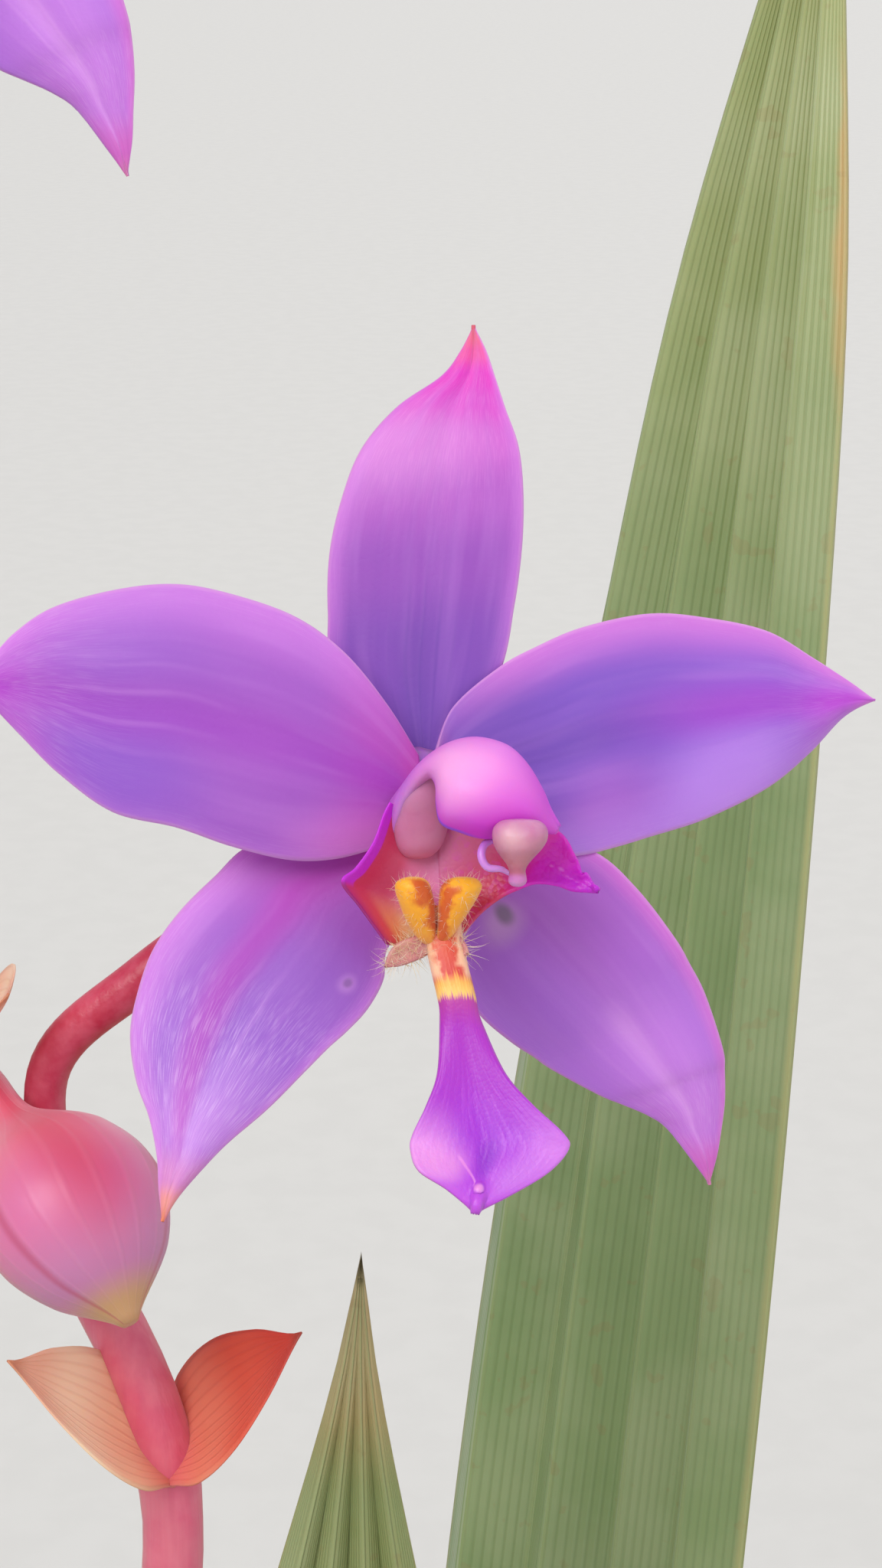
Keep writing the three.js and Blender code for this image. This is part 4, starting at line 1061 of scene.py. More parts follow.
def close_tree(nodes, gives, geometry, skin, smooth=True):
    """Every tree ends alike: its instances become plain mesh, which gets its material."""
    real = nodes.out("GeometryNodeRealizeInstances", {0: geometry})[0]
    if smooth:
        real = nodes.out("GeometryNodeSetShadeSmooth", {"Geometry": real})[0]
    dressed = nodes.out("GeometryNodeSetMaterial", {"Geometry": real, "Material": skin})[0]
    gives_out(nodes, gives, Geometry=dressed)


hair_tree, given, gives = new_group(
    "short_hairs", "GeometryNodeTree",
    [("Geometry", "Geometry"), ("Density", "Float", 1e6), ("Length", "Float", 0.0008),
     ("Root radius", "Float", 0.00003), ("Tilt", "Float", 0.6), ("Seed", "Int", 3), ("Hair", "Material")],
    [("Geometry", "Geometry")])
nodes = Nodes(hair_tree)
seed = given["Seed"]
spots = nodes.out("GeometryNodeDistributePointsOnFaces", {
    "Mesh": given["Geometry"], "Density": given["Density"], "Seed": seed})
bent = nodes.out("GeometryNodeCurveQuadraticBezier", {
    "Resolution": 3, "Start": (0, 0, -0.1), "Middle": (0, 0, 0.6), "End": (0.3, 0, 1)})[0]
share = nodes.out("GeometryNodeSplineParameter")["Factor"]
taper = nodes.maths("SUBTRACT", 1.0, nodes.scaled(share, 0.9))
slim = nodes.maths("DIVIDE", given["Root radius"], given["Length"])
ring = nodes.out("GeometryNodeCurvePrimitiveCircle", {"Resolution": 3, "Radius": 1.0})[0]
hair = nodes.out("GeometryNodeCurveToMesh", {
    "Curve": bent, "Profile Curve": ring, "Scale": nodes.scaled(taper, slim), "Fill Caps": True})[0]
tilt_back = nodes.scaled(given["Tilt"], -1.0)
swing = nodes.out("FunctionNodeRandomValue", {
    0: nodes.join(tilt_back, tilt_back, -3.14), 1: nodes.join(given["Tilt"], given["Tilt"], 3.14),
    "Seed": seed}, data_type="FLOAT_VECTOR")[0]
swung = nodes.out("FunctionNodeEulerToRotation", {0: swing})[0]
pointed = nodes.out("FunctionNodeRotateRotation", {0: spots["Rotation"], 1: swung}, rotation_space="LOCAL")[0]
longer = nodes.out("FunctionNodeRandomValue", {2: 0.55, 3: 1.25, "Seed": seed}, data_type="FLOAT")[1]
length = nodes.scaled(longer, given["Length"])
placed = nodes.out("GeometryNodeInstanceOnPoints", {
    "Points": spots["Points"], "Instance": hair, "Rotation": pointed,
    "Scale": nodes.join(length, length, length)})[0]
close_tree(nodes, gives, placed, given["Hair"])


def plain_copy(holder):
    """An object's mesh as its modifiers leave it."""
    bpy.context.view_layer.update()
    graph = bpy.context.evaluated_depsgraph_get()
    return bpy.data.meshes.new_from_object(holder.evaluated_get(graph), preserve_all_data_layers=True,
                                           depsgraph=graph)


def grown(name, source, tree, **settings):
    """What a Geometry Nodes tree makes of a mesh, as a plain mesh of its own."""
    holder = bpy.data.objects.new(name, source)
    bpy.context.collection.objects.link(holder)
    modifier = holder.modifiers.new("grow", "NODES")
    modifier.node_group = tree
    for item in tree.interface.items_tree:
        word = item.name.replace(" ", "_")
        if item.in_out == "INPUT" and word in settings:
            modifier[item.identifier] = settings[word]
    mesh = plain_copy(holder)
    bpy.data.objects.remove(holder)
    mesh.name = name
    return mesh


# %% Hairs on every callus and auricle
skin = pale_hair_finish = Finish("pale_hair", Roughness=0.35, Subsurface_Weight=0.2, Subsurface_Scale=0.0005)
skin.base(skin.mottle(0.001), [(0.0, 250, 222, 170), (1.0, 252, 240, 224)])

HAIRY_PLACES = [  # what carries them, its node, its pieces, hairs a square metre, length and root radius
    ("callus", "callus", callus_pieces, 9e6, 0.00048, 0.000011),
    ("auricle", "lip", auricle_pieces, 34e6, 0.00095, 0.000016)]
FAR_HAIR_RADIUS = 0.00002
FAR_THINNING = 3
HAIR_TILT = 0.8
for word, node, carriers, density, length, root_radius in HAIRY_PLACES:
    for number, carrier in enumerate(carriers, start=1):
        close_by = number == 1
        mesh = grown(f"bloom_{number}_{word}_hairs", carrier.data, hair_tree,
                     Density=density if close_by else density / FAR_THINNING, Length=length,
                     Root_radius=root_radius if close_by else FAR_HAIR_RADIUS, Tilt=HAIR_TILT,
                     Seed=3 + number, Hair=pale_hair_finish.material)
        dress(mesh.name, mesh, node, f"bloom_{number}_{node}")

# %% [markdown]
# ## The column and its hood
# Over the lip arches the column, which ends in a broad hood, hollow underneath. Seen from in front the
# hood shows an arched outline and a lower rim. The shell is made from ribs: each starts at the column's
# root, climbs to the outline, bulges toward the eye and comes down to the rim. The column's own soft
# flank, dusty pink, lies in the hollow behind the rim.

# %% Column finishes
skin = hood_finish = Finish("hood_pink", Roughness=0.5, Subsurface_Weight=0.25, Subsurface_Scale=0.0012,
                            Specular_IOR_Level=0.36)
# The run is brightest over the dome, from 0.5 to 0.8 along: partly the hood's own pink, partly a painted
# highlight.
skin.base(skin.along, [
    (0.0, 176, 96, 190), (0.4, 204, 96, 214), (0.5, 226, 116, 222), (0.64, 244, 142, 226),
    (0.78, 240, 138, 222), (0.9, 222, 104, 222), (0.97, 206, 70, 216), (1.0, 150, 80, 226)])
skin.spots([
    ((214, 44, 212), (0.72, 0.95, 0.24, 0.18, 0.9), 0.9), ((206, 70, 214), (0.98, 0.6, 0.2, 0.5, 0.8), 0.7),
    ((218, 60, 214), (0.86, 0.8, 0.14, 0.26, 0.9), 0.55),
    # A painted highlight, pale pink, on the upper left of the dome.
    ((255, 184, 230), (0.45, 0.68, 0.15, 0.2, 0.9), 0.6),
    ((198, 112, 204), (0.1, 0.7, 0.22, 0.6, 0.8), 0.85), ((214, 142, 186), (0.2, 0.95, 0.12, 0.2, 0.9), 0.6)])
lower_edge = skin.between(skin.across, 0.3, 0.36, 0.6, 0.72)
skin.over((132, 84, 232), skin.smooth(skin.along, 0.955, 0.975), lower_edge, 0.85)
# Painted light: the hollow underside gets a paler pink than its own, against the shade inside the hood.
skin.over((238, 152, 210), skin.reads("under"), 0.9)
skin.domed(0.00016, 0.12, 0.00004)

skin = column_finish = Finish("column_dusty_pink", Roughness=0.55, Subsurface_Weight=0.25,
                              Subsurface_Scale=0.001, Specular_IOR_Level=0.3)
# Painted light: the run is lighter at both ends, at the top below the hood's rim and at the foot, against the
# shade that falls there.
skin.base(skin.along, [
    (0.0, 236, 158, 216), (0.16, 218, 138, 190), (0.32, 200, 120, 166), (0.6, 194, 112, 152),
    (0.78, 208, 124, 166), (0.9, 224, 136, 178), (1.0, 228, 128, 164)])
skin.over((214, 146, 182), skin.mottle(0.0014), 0.35)
skin.domed(0.0002, 0.12, 0.00004)

skin = hook_finish = Finish("hook_lilac", Roughness=0.3, Subsurface_Weight=0.3, Subsurface_Scale=0.0008)
skin.base(skin.along, [(0.0, 196, 110, 222), (1.0, 212, 150, 226)])
print("three column finishes")

# %% Hood ribs, as the eye sees them
HOOD_OUTLINE = [(-1.6, -1.6), (-1.5, -0.5), (-1.16, 0.4), (-0.52, 1.44), (0.12, 2.16), (0.84, 2.72),
                (1.64, 3.12), (2.68, 3.32), (3.72, 3.16), (4.6, 2.76), (5.4, 1.9), (6.08, 0.72),
                (6.5, -0.3), (7, -1.2)]
HOOD_RIM = [(-1.45, -1.6), (-1.22, -0.8), (-0.86, 0.1), (-0.2, 1.05), (0.45, 1.5), (0.8, 1), (0.84, 0),
            (1.08, -0.92), (2, -1.32), (3, -1.62), (4.2, -1.6), (5.3, -1.45), (6.2, -1.4), (6.9, -1.4)]
OUTLINE_DEPTH = [3.8, 4.2, 4.6, 5, 5.3, 5.6, 5.9, 6.2, 6.5, 6.8, 7, 7.1, 7.1, 7]
RIM_DEPTH = [4.1, 4.6, 5.1, 5.7, 6.4, 7.2, 8, 8.6, 8.9, 8.9, 8.7, 8.4, 7.9, 7.3]
HOOD_BULGE = [0, 0.1, 0.2, 0.4, 0.6, 1, 1.4, 1.6, 1.6, 1.5, 1.3, 1, 0.6, 0.1]

COLUMN_DEPTH = 2.1


def hood_grid(rows, columns):
    """Middle points of the hood: rows run from the column's root, over the outline, to the rim."""
    turn_share = np.linspace(0, 1, columns)
    outer, rim, outer_depth, rim_depth, bulge = (
        outline_curve(line, turn_share)
        for line in (HOOD_OUTLINE, HOOD_RIM, OUTLINE_DEPTH, RIM_DEPTH, HOOD_BULGE))
    angle = np.radians(205 - 235 * turn_share)
    root = np.stack([-0.4 + 1.3 * np.cos(angle), -0.6 + 1.3 * np.sin(angle)], -1)
    rise = outer_depth - COLUMN_DEPTH
    full = rim_depth + bulge - outer_depth
    stations = [
        seen(root, np.full(columns, COLUMN_DEPTH)),
        seen(root * 0.6 + outer * 0.4, COLUMN_DEPTH + 0.42 * rise),
        seen(root * 0.14 + outer * 0.86, COLUMN_DEPTH + 0.8 * rise),
        seen(outer, outer_depth + 0.2),
        seen(outer * 0.84 + rim * 0.16, outer_depth + 0.6 * full),
        seen(outer * 0.5 + rim * 0.5, outer_depth + 0.97 * full),
        seen(outer * 0.18 + rim * 0.82, rim_depth + 0.72 * bulge),
        seen(rim, rim_depth),
    ]
    return outline_curve(np.array(stations), np.linspace(0, 1, rows))


FLANK_SLICES = [
    (2.1, 0.52, 4.8, 0.1, 0.2), (1.95, 0.48, 4.95, 0.62, 0.7), (1.4, 0.26, 5, 1.02, 1.05),
    (0.4, 0.02, 4.75, 1.3, 1.15), (-0.5, -0.08, 4.35, 1.42, 1.15), (-1.4, -0.14, 4.2, 1.4, 1.1),
    (-2.2, -0.2, 4, 1.15, 0.95), (-2.7, -0.25, 3.85, 0.7, 0.6), (-2.85, -0.25, 3.7, 0.15, 0.2)]
print("the hood has", len(HOOD_OUTLINE), "measured ribs")

# %% Make every column
HOOK_PATH = [(4, -1.6, 8.2), (3.1, -1.9, 8.6), (2.9, -2.5, 8.9), (3.2, -3.05, 9), (3.9, -3.15, 8.9),
             (4.3, -3.4, 8.7)]
HOOK_RINGS = 24
HOOK_SIDES = 10
HOOK_RADIUS = 0.21
FLANK_GRID = (36, 32)
hook = space_curve(HOOK_PATH, HOOK_RINGS)
hook_radii = HOOK_RADIUS * np.sqrt(np.sin(np.linspace(0.3, np.pi - 0.2, HOOK_RINGS)))
for number, move in enumerate(movers, start=1):
    rows, columns = grid_for("hood", number)
    tissue = Tissue()
    along = np.linspace(0, 1, rows)[:, None] + np.zeros((1, columns))
    tissue.sheet(hood_grid(rows, columns), 0.5 - 0.22 * along**2, hood_finish, front=-1)
    tissue.round_body(slice_rings(FLANK_SLICES, *FLANK_GRID), column_finish)
    tissue.tube(hook, hook_radii, HOOK_SIDES, hook_finish)
    tissue.piece(f"bloom_{number}_column", "column", f"bloom_{number}_column", move=move)

# %% [markdown]
# ## The anther cap
# Under the hood's end hangs the cap that holds the pollen: mauve pink with a painted cream highlight,
# broad and slightly cleft above, narrowed to a pale beak below. It is built from level slices, as a
# carver would cut it, because its shape is known from its widths.

# %% Anther cap
skin = cap_finish = Finish("anther_cream", Roughness=0.4, Subsurface_Weight=0.25, Subsurface_Scale=0.0008)
skin.base(skin.along, [
    (0.0, 190, 104, 176), (0.16, 196, 118, 166), (0.36, 196, 124, 152), (0.55, 186, 106, 124),
    (0.68, 176, 92, 118), (0.8, 196, 112, 184), (1.0, 206, 156, 222)])
# A painted highlight, pale cream, on the cap's lit side.
skin.spots([((246, 212, 208), (0.3, 0.27, 0.07, 0.12, 1.0), 0.4)])
skin.over((230, 180, 196), skin.mottle(0.0009), 0.2)
skin.domed(0.00016, 0.15, 0.00004)

CAP_SLICES = [
    (-0.7, 5.1, 9.9, 0.2, 0.1), (-0.78, 5.1, 9.9, 0.95, 0.6), (-1.1, 5.12, 9.95, 1.36, 0.95),
    (-1.5, 5.12, 10, 1.46, 1.1), (-1.9, 5.1, 10, 1.4, 1.1), (-2.3, 5.05, 10, 1.2, 0.98),
    (-2.7, 5, 9.95, 0.88, 0.76), (-3.1, 4.98, 9.9, 0.56, 0.54), (-3.42, 4.97, 9.9, 0.43, 0.42),
    (-3.68, 4.98, 9.9, 0.46, 0.42), (-4, 4.98, 9.9, 0.48, 0.42), (-4.2, 4.98, 9.9, 0.3, 0.28),
    (-4.26, 4.98, 9.9, 0.08, 0.08)]
CAP_CLEFT = 0.14

for number, move in enumerate(movers, start=1):
    tissue = Tissue()
    tissue.round_body(slice_rings(CAP_SLICES, *grid_for("cap", number), cleft=CAP_CLEFT), cap_finish)
    tissue.piece(f"bloom_{number}_anther_cap", "anther_cap", f"bloom_{number}_anther_cap", move=move)

# %% [markdown]
# ## Flower stalks
# The stalks are pink, paler green near the foot, with rings where a sheath or a bract grows. They follow
# a path, so Geometry Nodes make them: a line of points that carries its own thickness becomes a curve,
# and Curve to Mesh sweeps a circle along it. The crimson stalks of single flowers use the same tree.

# %% Stalk tree
stem_tree, given, gives = new_group(
    "stem_on_path", "GeometryNodeTree",
    [("Geometry", "Geometry"), ("Sides", "Int", 16), ("Skin", "Material")], [("Geometry", "Geometry")])
nodes = Nodes(stem_tree)
line = nodes.out("GeometryNodeMeshToCurve", {0: given["Geometry"]})[0]
thick = nodes.out("GeometryNodeInputNamedAttribute", {"Name": "thick"}, data_type="FLOAT")[0]
ring = nodes.out("GeometryNodeCurvePrimitiveCircle", {"Resolution": given["Sides"], "Radius": 1.0})[0]
swept = nodes.out("GeometryNodeCurveToMesh", {
    "Curve": line, "Profile Curve": ring, "Scale": thick, "Fill Caps": True})[0]
close_tree(nodes, gives, swept, given["Skin"])


def lines_mesh(name, routes):
    """A mesh of bare lines: each route is its points in millimetres and the thickness at each."""
    mesh = bpy.data.meshes.new(name)
    points, edges, thick, share = [], [], [], []
    for route, radii in routes:
        start = len(points)
        points += (route * MM).tolist()
        edges += [(start + i, start + i + 1) for i in range(len(route) - 1)]
        thick += (np.asarray(radii) * MM).tolist()
        share += np.linspace(0, 1, len(route)).tolist()
    mesh.from_pydata(points, edges, [])
    for word, values in (("thick", thick), ("share", share)):
        mesh.attributes.new(word, "FLOAT", "POINT").data.foreach_set("value", values)
    return mesh


# %% Stalk finishes
skin = stalk_finish = Finish("stalk_pink", Roughness=0.42, Subsurface_Weight=0.12, Subsurface_Scale=0.0012,
                             Sheen_Weight=0.2)
skin.base(skin.reads("share"), [
    (0.0, 130, 140, 70), (0.3, 156, 112, 86), (0.55, 200, 92, 104), (0.75, 214, 92, 120),
    (1.0, 216, 100, 140)])
skin.over((234, 150, 156), skin.mottle(0.002), 0.3)
streaks = skin.mottle(0.0006, 2.0, skin.vector("MULTIPLY", skin.place, (1.0, 1.0, 0.06)))
skin.over((196, 70, 104), streaks, 0.22)
skin.emboss(streaks, 0.3, 0.0001)

skin = pedicel_finish = Finish("pedicel_crimson", Roughness=0.4, Subsurface_Weight=0.12,
                               Subsurface_Scale=0.001)
skin.base(skin.reads("share"), [
    (0.0, 214, 80, 110), (0.4, 190, 40, 70), (0.8, 176, 40, 76), (1.0, 176, 70, 110)])
skin.over((236, 130, 150), skin.mottle(0.0012), 0.3)
skin.emboss(skin.mottle(0.0004), 0.2, 0.00008)

skin = bud_finish = Finish("bud_pink", Roughness=0.42, Subsurface_Weight=0.22, Subsurface_Scale=0.0015,
                           Sheen_Weight=0.2)
skin.base(skin.along, [
    (0.0, 196, 60, 90), (0.3, 224, 104, 130), (0.45, 226, 116, 142), (0.7, 214, 112, 160),
    (0.88, 196, 122, 168), (0.96, 196, 150, 104)])
seam = skin.maths("PINGPONG", skin.scaled(skin.across, 3.0), 0.5)
bud_veins = skin.veins(18, 0.5, 0.35)
skin.over((206, 52, 84), skin.smooth(seam, 0.12, 0.5), skin.fade(skin.along, 0.6, 0.95), 0.75)
skin.over((176, 44, 84), skin.fade(seam, 0.0, 0.05), 0.5)
skin.over((240, 170, 190), bud_veins, 0.05)
skin.emboss(bud_veins, 0.2, 0.0001)


def bract_finish(name, roughness, stops, vein_colour):
    """A bract's papery skin, a run of colours from its foot to its tip with fine veins."""
    skin = Finish(name, Roughness=roughness, Subsurface_Weight=0.2, Subsurface_Scale=0.001)
    skin.base(skin.along, stops)
    lines = skin.veins(12, 0.7, 0.5)
    skin.over(vein_colour, lines, 0.16)
    skin.emboss(lines, 0.3, 0.0001)
    return skin


cream_bract_finish = bract_finish("bract_cream", 0.5, [
    (0.0, 222, 130, 116), (0.3, 240, 186, 150), (0.6, 244, 206, 172), (0.85, 236, 176, 146),
    (1.0, 200, 130, 96)], (214, 150, 110))
red_bract_finish = bract_finish("bract_red", 0.48, [
    (0.0, 226, 120, 120), (0.3, 226, 130, 104), (0.6, 214, 88, 66), (0.9, 190, 60, 46), (1.0, 150, 56, 40)],
    (180, 52, 46))
print("stalk, bud and bract finishes are ready")

# %% Stalk routes
STALK_RADIUS = 2.7
STALK_TIP_RADIUS = 1.1
PEDICEL_RADIUS = 1.15
PEDICEL_SWELL = 0.6
PLAIN_BEND = [(-2, -4, -14)]
STALKS = [
    {
        "axis": [(-6, 8, 99), (-5, 4, 200), (-1, -6, 350), (2.5, -12.5, 450), (5.5, -12.5, 481),
                 (0, -8.5, 493), (-6.5, -5, 503), (-9.5, -1, 515), (-10.5, 5, 530), (-9.5, 10, 545),
                 (-8, 13, 560), (-4, 12, 574)],
        "blooms": [(0, 5, [(-20.9, -14.8, -10), (-15.6, -9.7, -9), (-6, -3.4, -9.5)]),
                   (1, 9, PLAIN_BEND), (2, 8, PLAIN_BEND), (3, 9, PLAIN_BEND)],
        "buds": [(6, (7, -9, -2), 6, 0.98), (10, (-4, 15, 6), 10, 0.9), (10, (-14, -6, 8), 8, 0.8),
                 (11, (6, -4, 10), 4, 0.62), (11, (-2, 8, 12), 2, 0.5)],
        "bracts": [(4, (-5, -3, 5), cream_bract_finish), (4, (5, -1, 5), red_bract_finish),
                   (6, (3, -4, 3), cream_bract_finish), (8, (-8, 4, 3), red_bract_finish),
                   (10, (3, -6, 5), cream_bract_finish)],
        "sheaths": (1, 2),
    },
    {
        "axis": [(6, -8, 99), (10, -10, 180), (24, -18, 290), (42, -30, 370), (54, -36, 408), (62, -38, 428),
                 (66, -36, 444), (66, -32, 458)],
        "blooms": [(4, 4, PLAIN_BEND), (5, 5, PLAIN_BEND)],
        "buds": [(5, (10, 13, 2), 14, 1.05), (6, (12, -6, 8), 9, 0.85), (6, (-10, 8, 8), 8, 0.75),
                 (7, (5, 5, 9), 3, 0.55), (7, (-5, -4, 10), 2, 0.48)],
        "bracts": [(3, (6, -6, 5), red_bract_finish), (4, (-7, 3, 5), cream_bract_finish),
                   (6, (-3, -6, 6), red_bract_finish)],
        "sheaths": (1, 2),
    },
]
AXIS_POINTS = 260
PEDICEL_POINTS = 60
FLARED_POINTS = 6


def bloom_route(stalk, bloom, joins, bends):
    """The path of one flower's own stalk, from the main stalk to the back of the bloom."""
    behind = [*bends, (-0.1, -0.4, -9), (0, 0, -6.4), (0, 0, -4 - 0.3 / BLOOMS[bloom]["size"])]
    flipped = [(-x if BLOOMS[bloom]["flip"] else x, y, z) for x, y, z in behind]
    return space_curve([stalk["axis"][joins], *movers[bloom](flipped)], PEDICEL_POINTS)


print("stalk 1 carries", len(STALKS[0]["blooms"]), "blooms and", len(STALKS[0]["buds"]), "buds")

# %% Stalks with their joint rings, and the flowers' own stalks
pedicel_radii = PEDICEL_RADIUS + PEDICEL_SWELL * np.linspace(0, 1, PEDICEL_POINTS) ** 2
pedicel_radii[:FLARED_POINTS] += np.linspace(0.5, 0, FLARED_POINTS)
for number, stalk in enumerate(STALKS, start=1):
    node = f"flower_stalk_{number}"
    path = space_curve(stalk["axis"], AXIS_POINTS)
    radii = STALK_RADIUS + (STALK_TIP_RADIUS - STALK_RADIUS) * np.linspace(0, 1, AXIS_POINTS) ** 2
    for joint in stalk["axis"][1:]:
        near = np.linalg.norm(path - np.array(joint), axis=1)
        radii = radii * (1 + 0.1 * np.exp(-(near / 1.6) ** 2))
    routes = [(bloom_route(stalk, *row), pedicel_radii) for row in stalk["blooms"]]
    for word, lines, sides, finish in (("axis", [(path, radii)], 24, stalk_finish),
                                       ("pedicels", routes, 18, pedicel_finish)):
        mesh = grown(f"{node}_{word}", lines_mesh("lines", lines), stem_tree, Sides=sides,
                     Skin=finish.material)
        dress(mesh.name, mesh, "stalk", node)

# %% [markdown]
# ## Buds, bracts and sheaths
# A bud is a nodding egg of three overlapping sepals on its own short stalk, so its round body is swelled
# between three seams. A bract is a small boat-shaped leaf at each joint, and a sheath is a papery tube
# that clasps the lower stalk and narrows at its mouth.

# %% Bud, bract and sheath shapes
BUD_RINGS = 64
BUD_SIDES = 36
BRACT_GRID = (26, 15)
BRACT_ROLL = (0.85, 0.53)
SHEATH_RINGS = 24
SHEATH_SIDES = 28


def add_bud(tissue, start, toward, nod, size):
    """A bud that leaves the stalk at start and hangs as it fills."""
    start, toward = np.asarray(start, float), np.asarray(toward, float)
    places = [start + toward * share - np.array([0, 0, nod]) * share**2 * 0.42
              for share in (0, 0.4, 0.8, 1.2, 1.6)]
    path = space_curve(places, BUD_RINGS)
    swell = [1.1, 1.1, 1.3, 4.2 * size, 5.2 * size, 3.8 * size, 0.3]
    radii = outline_curve(swell, np.linspace(0, 1, BUD_RINGS))

    def three_sepals(angles, share):
        body = min(1, max(0, (share - 0.35) / 0.15)) * (1 - max(0, (share - 0.85) / 0.15) * 0.6)
        return 1 + body * (0.07 * np.abs(np.cos(1.5 * angles)) - 0.05)
    tissue.tube(path[:-1], radii[:-1], BUD_SIDES, bud_finish, wave=three_sepals)


def add_bract(tissue, start, toward, finish):
    """A boat-shaped bract that clasps the stalk and bends outward."""
    start, toward = np.asarray(start, float), np.asarray(toward, float)
    rows, columns = BRACT_GRID
    level, tilted = BRACT_ROLL
    side = unit(np.array([-toward[1], toward[0], 0.0]))
    lift = unit(np.cross(toward, side))
    tilted = tilted * np.sign(side[1])
    side, lift = side * level + lift * tilted, lift * level - side * tilted
    far = np.linspace(0, 1.75, rows)[:, None]
    place = np.linspace(-1, 1, columns)[None, :]
    half = outline_curve([1.8, 3.8, 3.9, 2.4, 0.05], np.linspace(0, 1, rows))[:, None]
    rise = np.abs(place) ** 1.5 * 0.3 * half + 0.45 * far**2
    middle = start + toward * far[..., None] + side * (place * half)[..., None] + lift * rise[..., None]
    tissue.sheet(middle, (0.45 - 0.17 * far) * thin_margin(place, 0.6), finish)


def three_ribs(angles, share):
    return 1 + 0.035 * np.cos(3 * angles + 2 * share)


def add_sheath(tissue, place):
    """A papery sheath round the stalk, with three soft ribs and a narrowed mouth."""
    foot = np.asarray(place, float) - (0, 0, 8)
    top = np.asarray(place, float) + (0.6, 0, 14)
    path = space_curve([foot, (foot + top) / 2, top], SHEATH_RINGS)
    radii = 3.85 - 0.5 * np.linspace(0, 1, SHEATH_RINGS)
    radii[:3] *= (0.86, 0.95, 1)
    radii[-2:] *= (0.94, 0.82)
    tissue.tube(path, radii, SHEATH_SIDES, cream_bract_finish, wave=three_ribs)


print("bud, bract and sheath shapes are ready")

# %% Make them for both stalks
for number, stalk in enumerate(STALKS, start=1):
    node = f"flower_stalk_{number}"
    buds, bracts = Tissue(), Tissue()
    for joins, toward, nod, size in stalk["buds"]:
        add_bud(buds, stalk["axis"][joins], toward, nod, size)
    for joins, toward, finish in stalk["bracts"]:
        add_bract(bracts, stalk["axis"][joins], toward, finish)
    for joins in stalk["sheaths"]:
        add_sheath(bracts, stalk["axis"][joins])
    buds.piece(node + "_buds", "stalk", node)
    bracts.piece(node + "_bracts", "stalk", node)

# %% [markdown]
# ## Pleated leaves
# The leaves follow a rule: a blade of a given width, folded into lengthwise pleats, bends along a spine.
# So the blade is built by Geometry Nodes. A flat grid is laid on the spine: the place along picks a point
# of the spine, the place across moves sideways, and a wave across makes the pleats. The spine itself
# carries the direction across, the width, the depth of the pleats and the depth of the channel.

# %% Leaf tree
leaf_tree, given, gives = new_group(
    "pleated_blade", "GeometryNodeTree",
    [("Geometry", "Geometry"), ("Pleats", "Int", 8), ("Columns", "Int", 65), ("Rows", "Int", 90),
     ("Skin", "Material")],
    [("Geometry", "Geometry")])
nodes = Nodes(leaf_tree)
spine = nodes.out("GeometryNodeMeshToCurve", {0: given["Geometry"]})[0]
grid = nodes.out("GeometryNodeMeshGrid", {
    "Size X": 1.0, "Size Y": 1.0, "Vertices X": given["Columns"], "Vertices Y": given["Rows"]})
flat_place = nodes.split(nodes.out("GeometryNodeInputPosition")[0])
share_across = nodes.maths("ADD", flat_place[0], 0.5)
share_along = nodes.maths("ADD", flat_place[1], 0.5)


def read_spine(word):
    """One of the spine's own values, its place and its direction, at each point's share along."""
    value = nodes.out("GeometryNodeInputNamedAttribute", {"Name": word}, data_type="FLOAT_VECTOR")[0]
    sample = nodes.add("GeometryNodeSampleCurve", {"Curves": spine, "Factor": share_along},
                       data_type="FLOAT_VECTOR", use_all_curves=True)
    socket, picked = (next(item for item in side if item.name == "Value" and item.type == "VECTOR")
                      for side in (sample.inputs, sample.outputs))
    nodes.tree.links.new(value, socket)
    return picked, sample.outputs["Position"], sample.outputs["Tangent"]


across_value, spine_place, tangent = read_spine("across")
half_width, pleat_depth, channel_depth = nodes.split(read_spine("form")[0])
sideways = nodes.maths("MULTIPLY_ADD", share_across, 2.0, -1.0)
turns = nodes.scaled(nodes.scaled(share_across, given["Pleats"]), math.pi)
wave = nodes.scaled(nodes.maths("COSINE", turns), -1.0)
crisp = nodes.scaled(nodes.maths("ARCSINE", nodes.scaled(wave, 0.98)), 0.73)
channel = nodes.scaled(nodes.maths("ABSOLUTE", sideways), channel_depth)
height = nodes.maths("ADD", nodes.scaled(crisp, pleat_depth), channel)
up = nodes.vector("CROSS_PRODUCT", tangent, across_value)
out_side = nodes.out("ShaderNodeVectorMath", {
    0: across_value, "Scale": nodes.scaled(sideways, half_width)}, operation="SCALE")[0]
out_up = nodes.out("ShaderNodeVectorMath", {0: up, "Scale": height}, operation="SCALE")[0]
landed = nodes.vector("ADD", spine_place, nodes.vector("ADD", out_side, out_up))
charted = nodes.add("GeometryNodeStoreNamedAttribute", {"Geometry": grid["Mesh"], "Name": "UVMap"},
                    data_type="FLOAT2", domain="CORNER")
nodes.tree.links.new(grid["UV Map"], next(item for item in charted.inputs if item.name == "Value"))
laid = nodes.out("GeometryNodeSetPosition", {"Geometry": charted.outputs[0], "Position": landed})[0]
welded = nodes.out("GeometryNodeMergeByDistance", {"Geometry": laid, "Distance": 5e-6})[0]
close_tree(nodes, gives, welded, given["Skin"])

# %% [markdown]
# ## Leaf finish
# A leaf of this plant is mid green with a satin shine, paler veins on every fold, a yellower stalk and a
# tip that has dried to straw. Veins follow the blade's own chart, and slow patches in the plant's own
# space keep two leaves from looking alike.

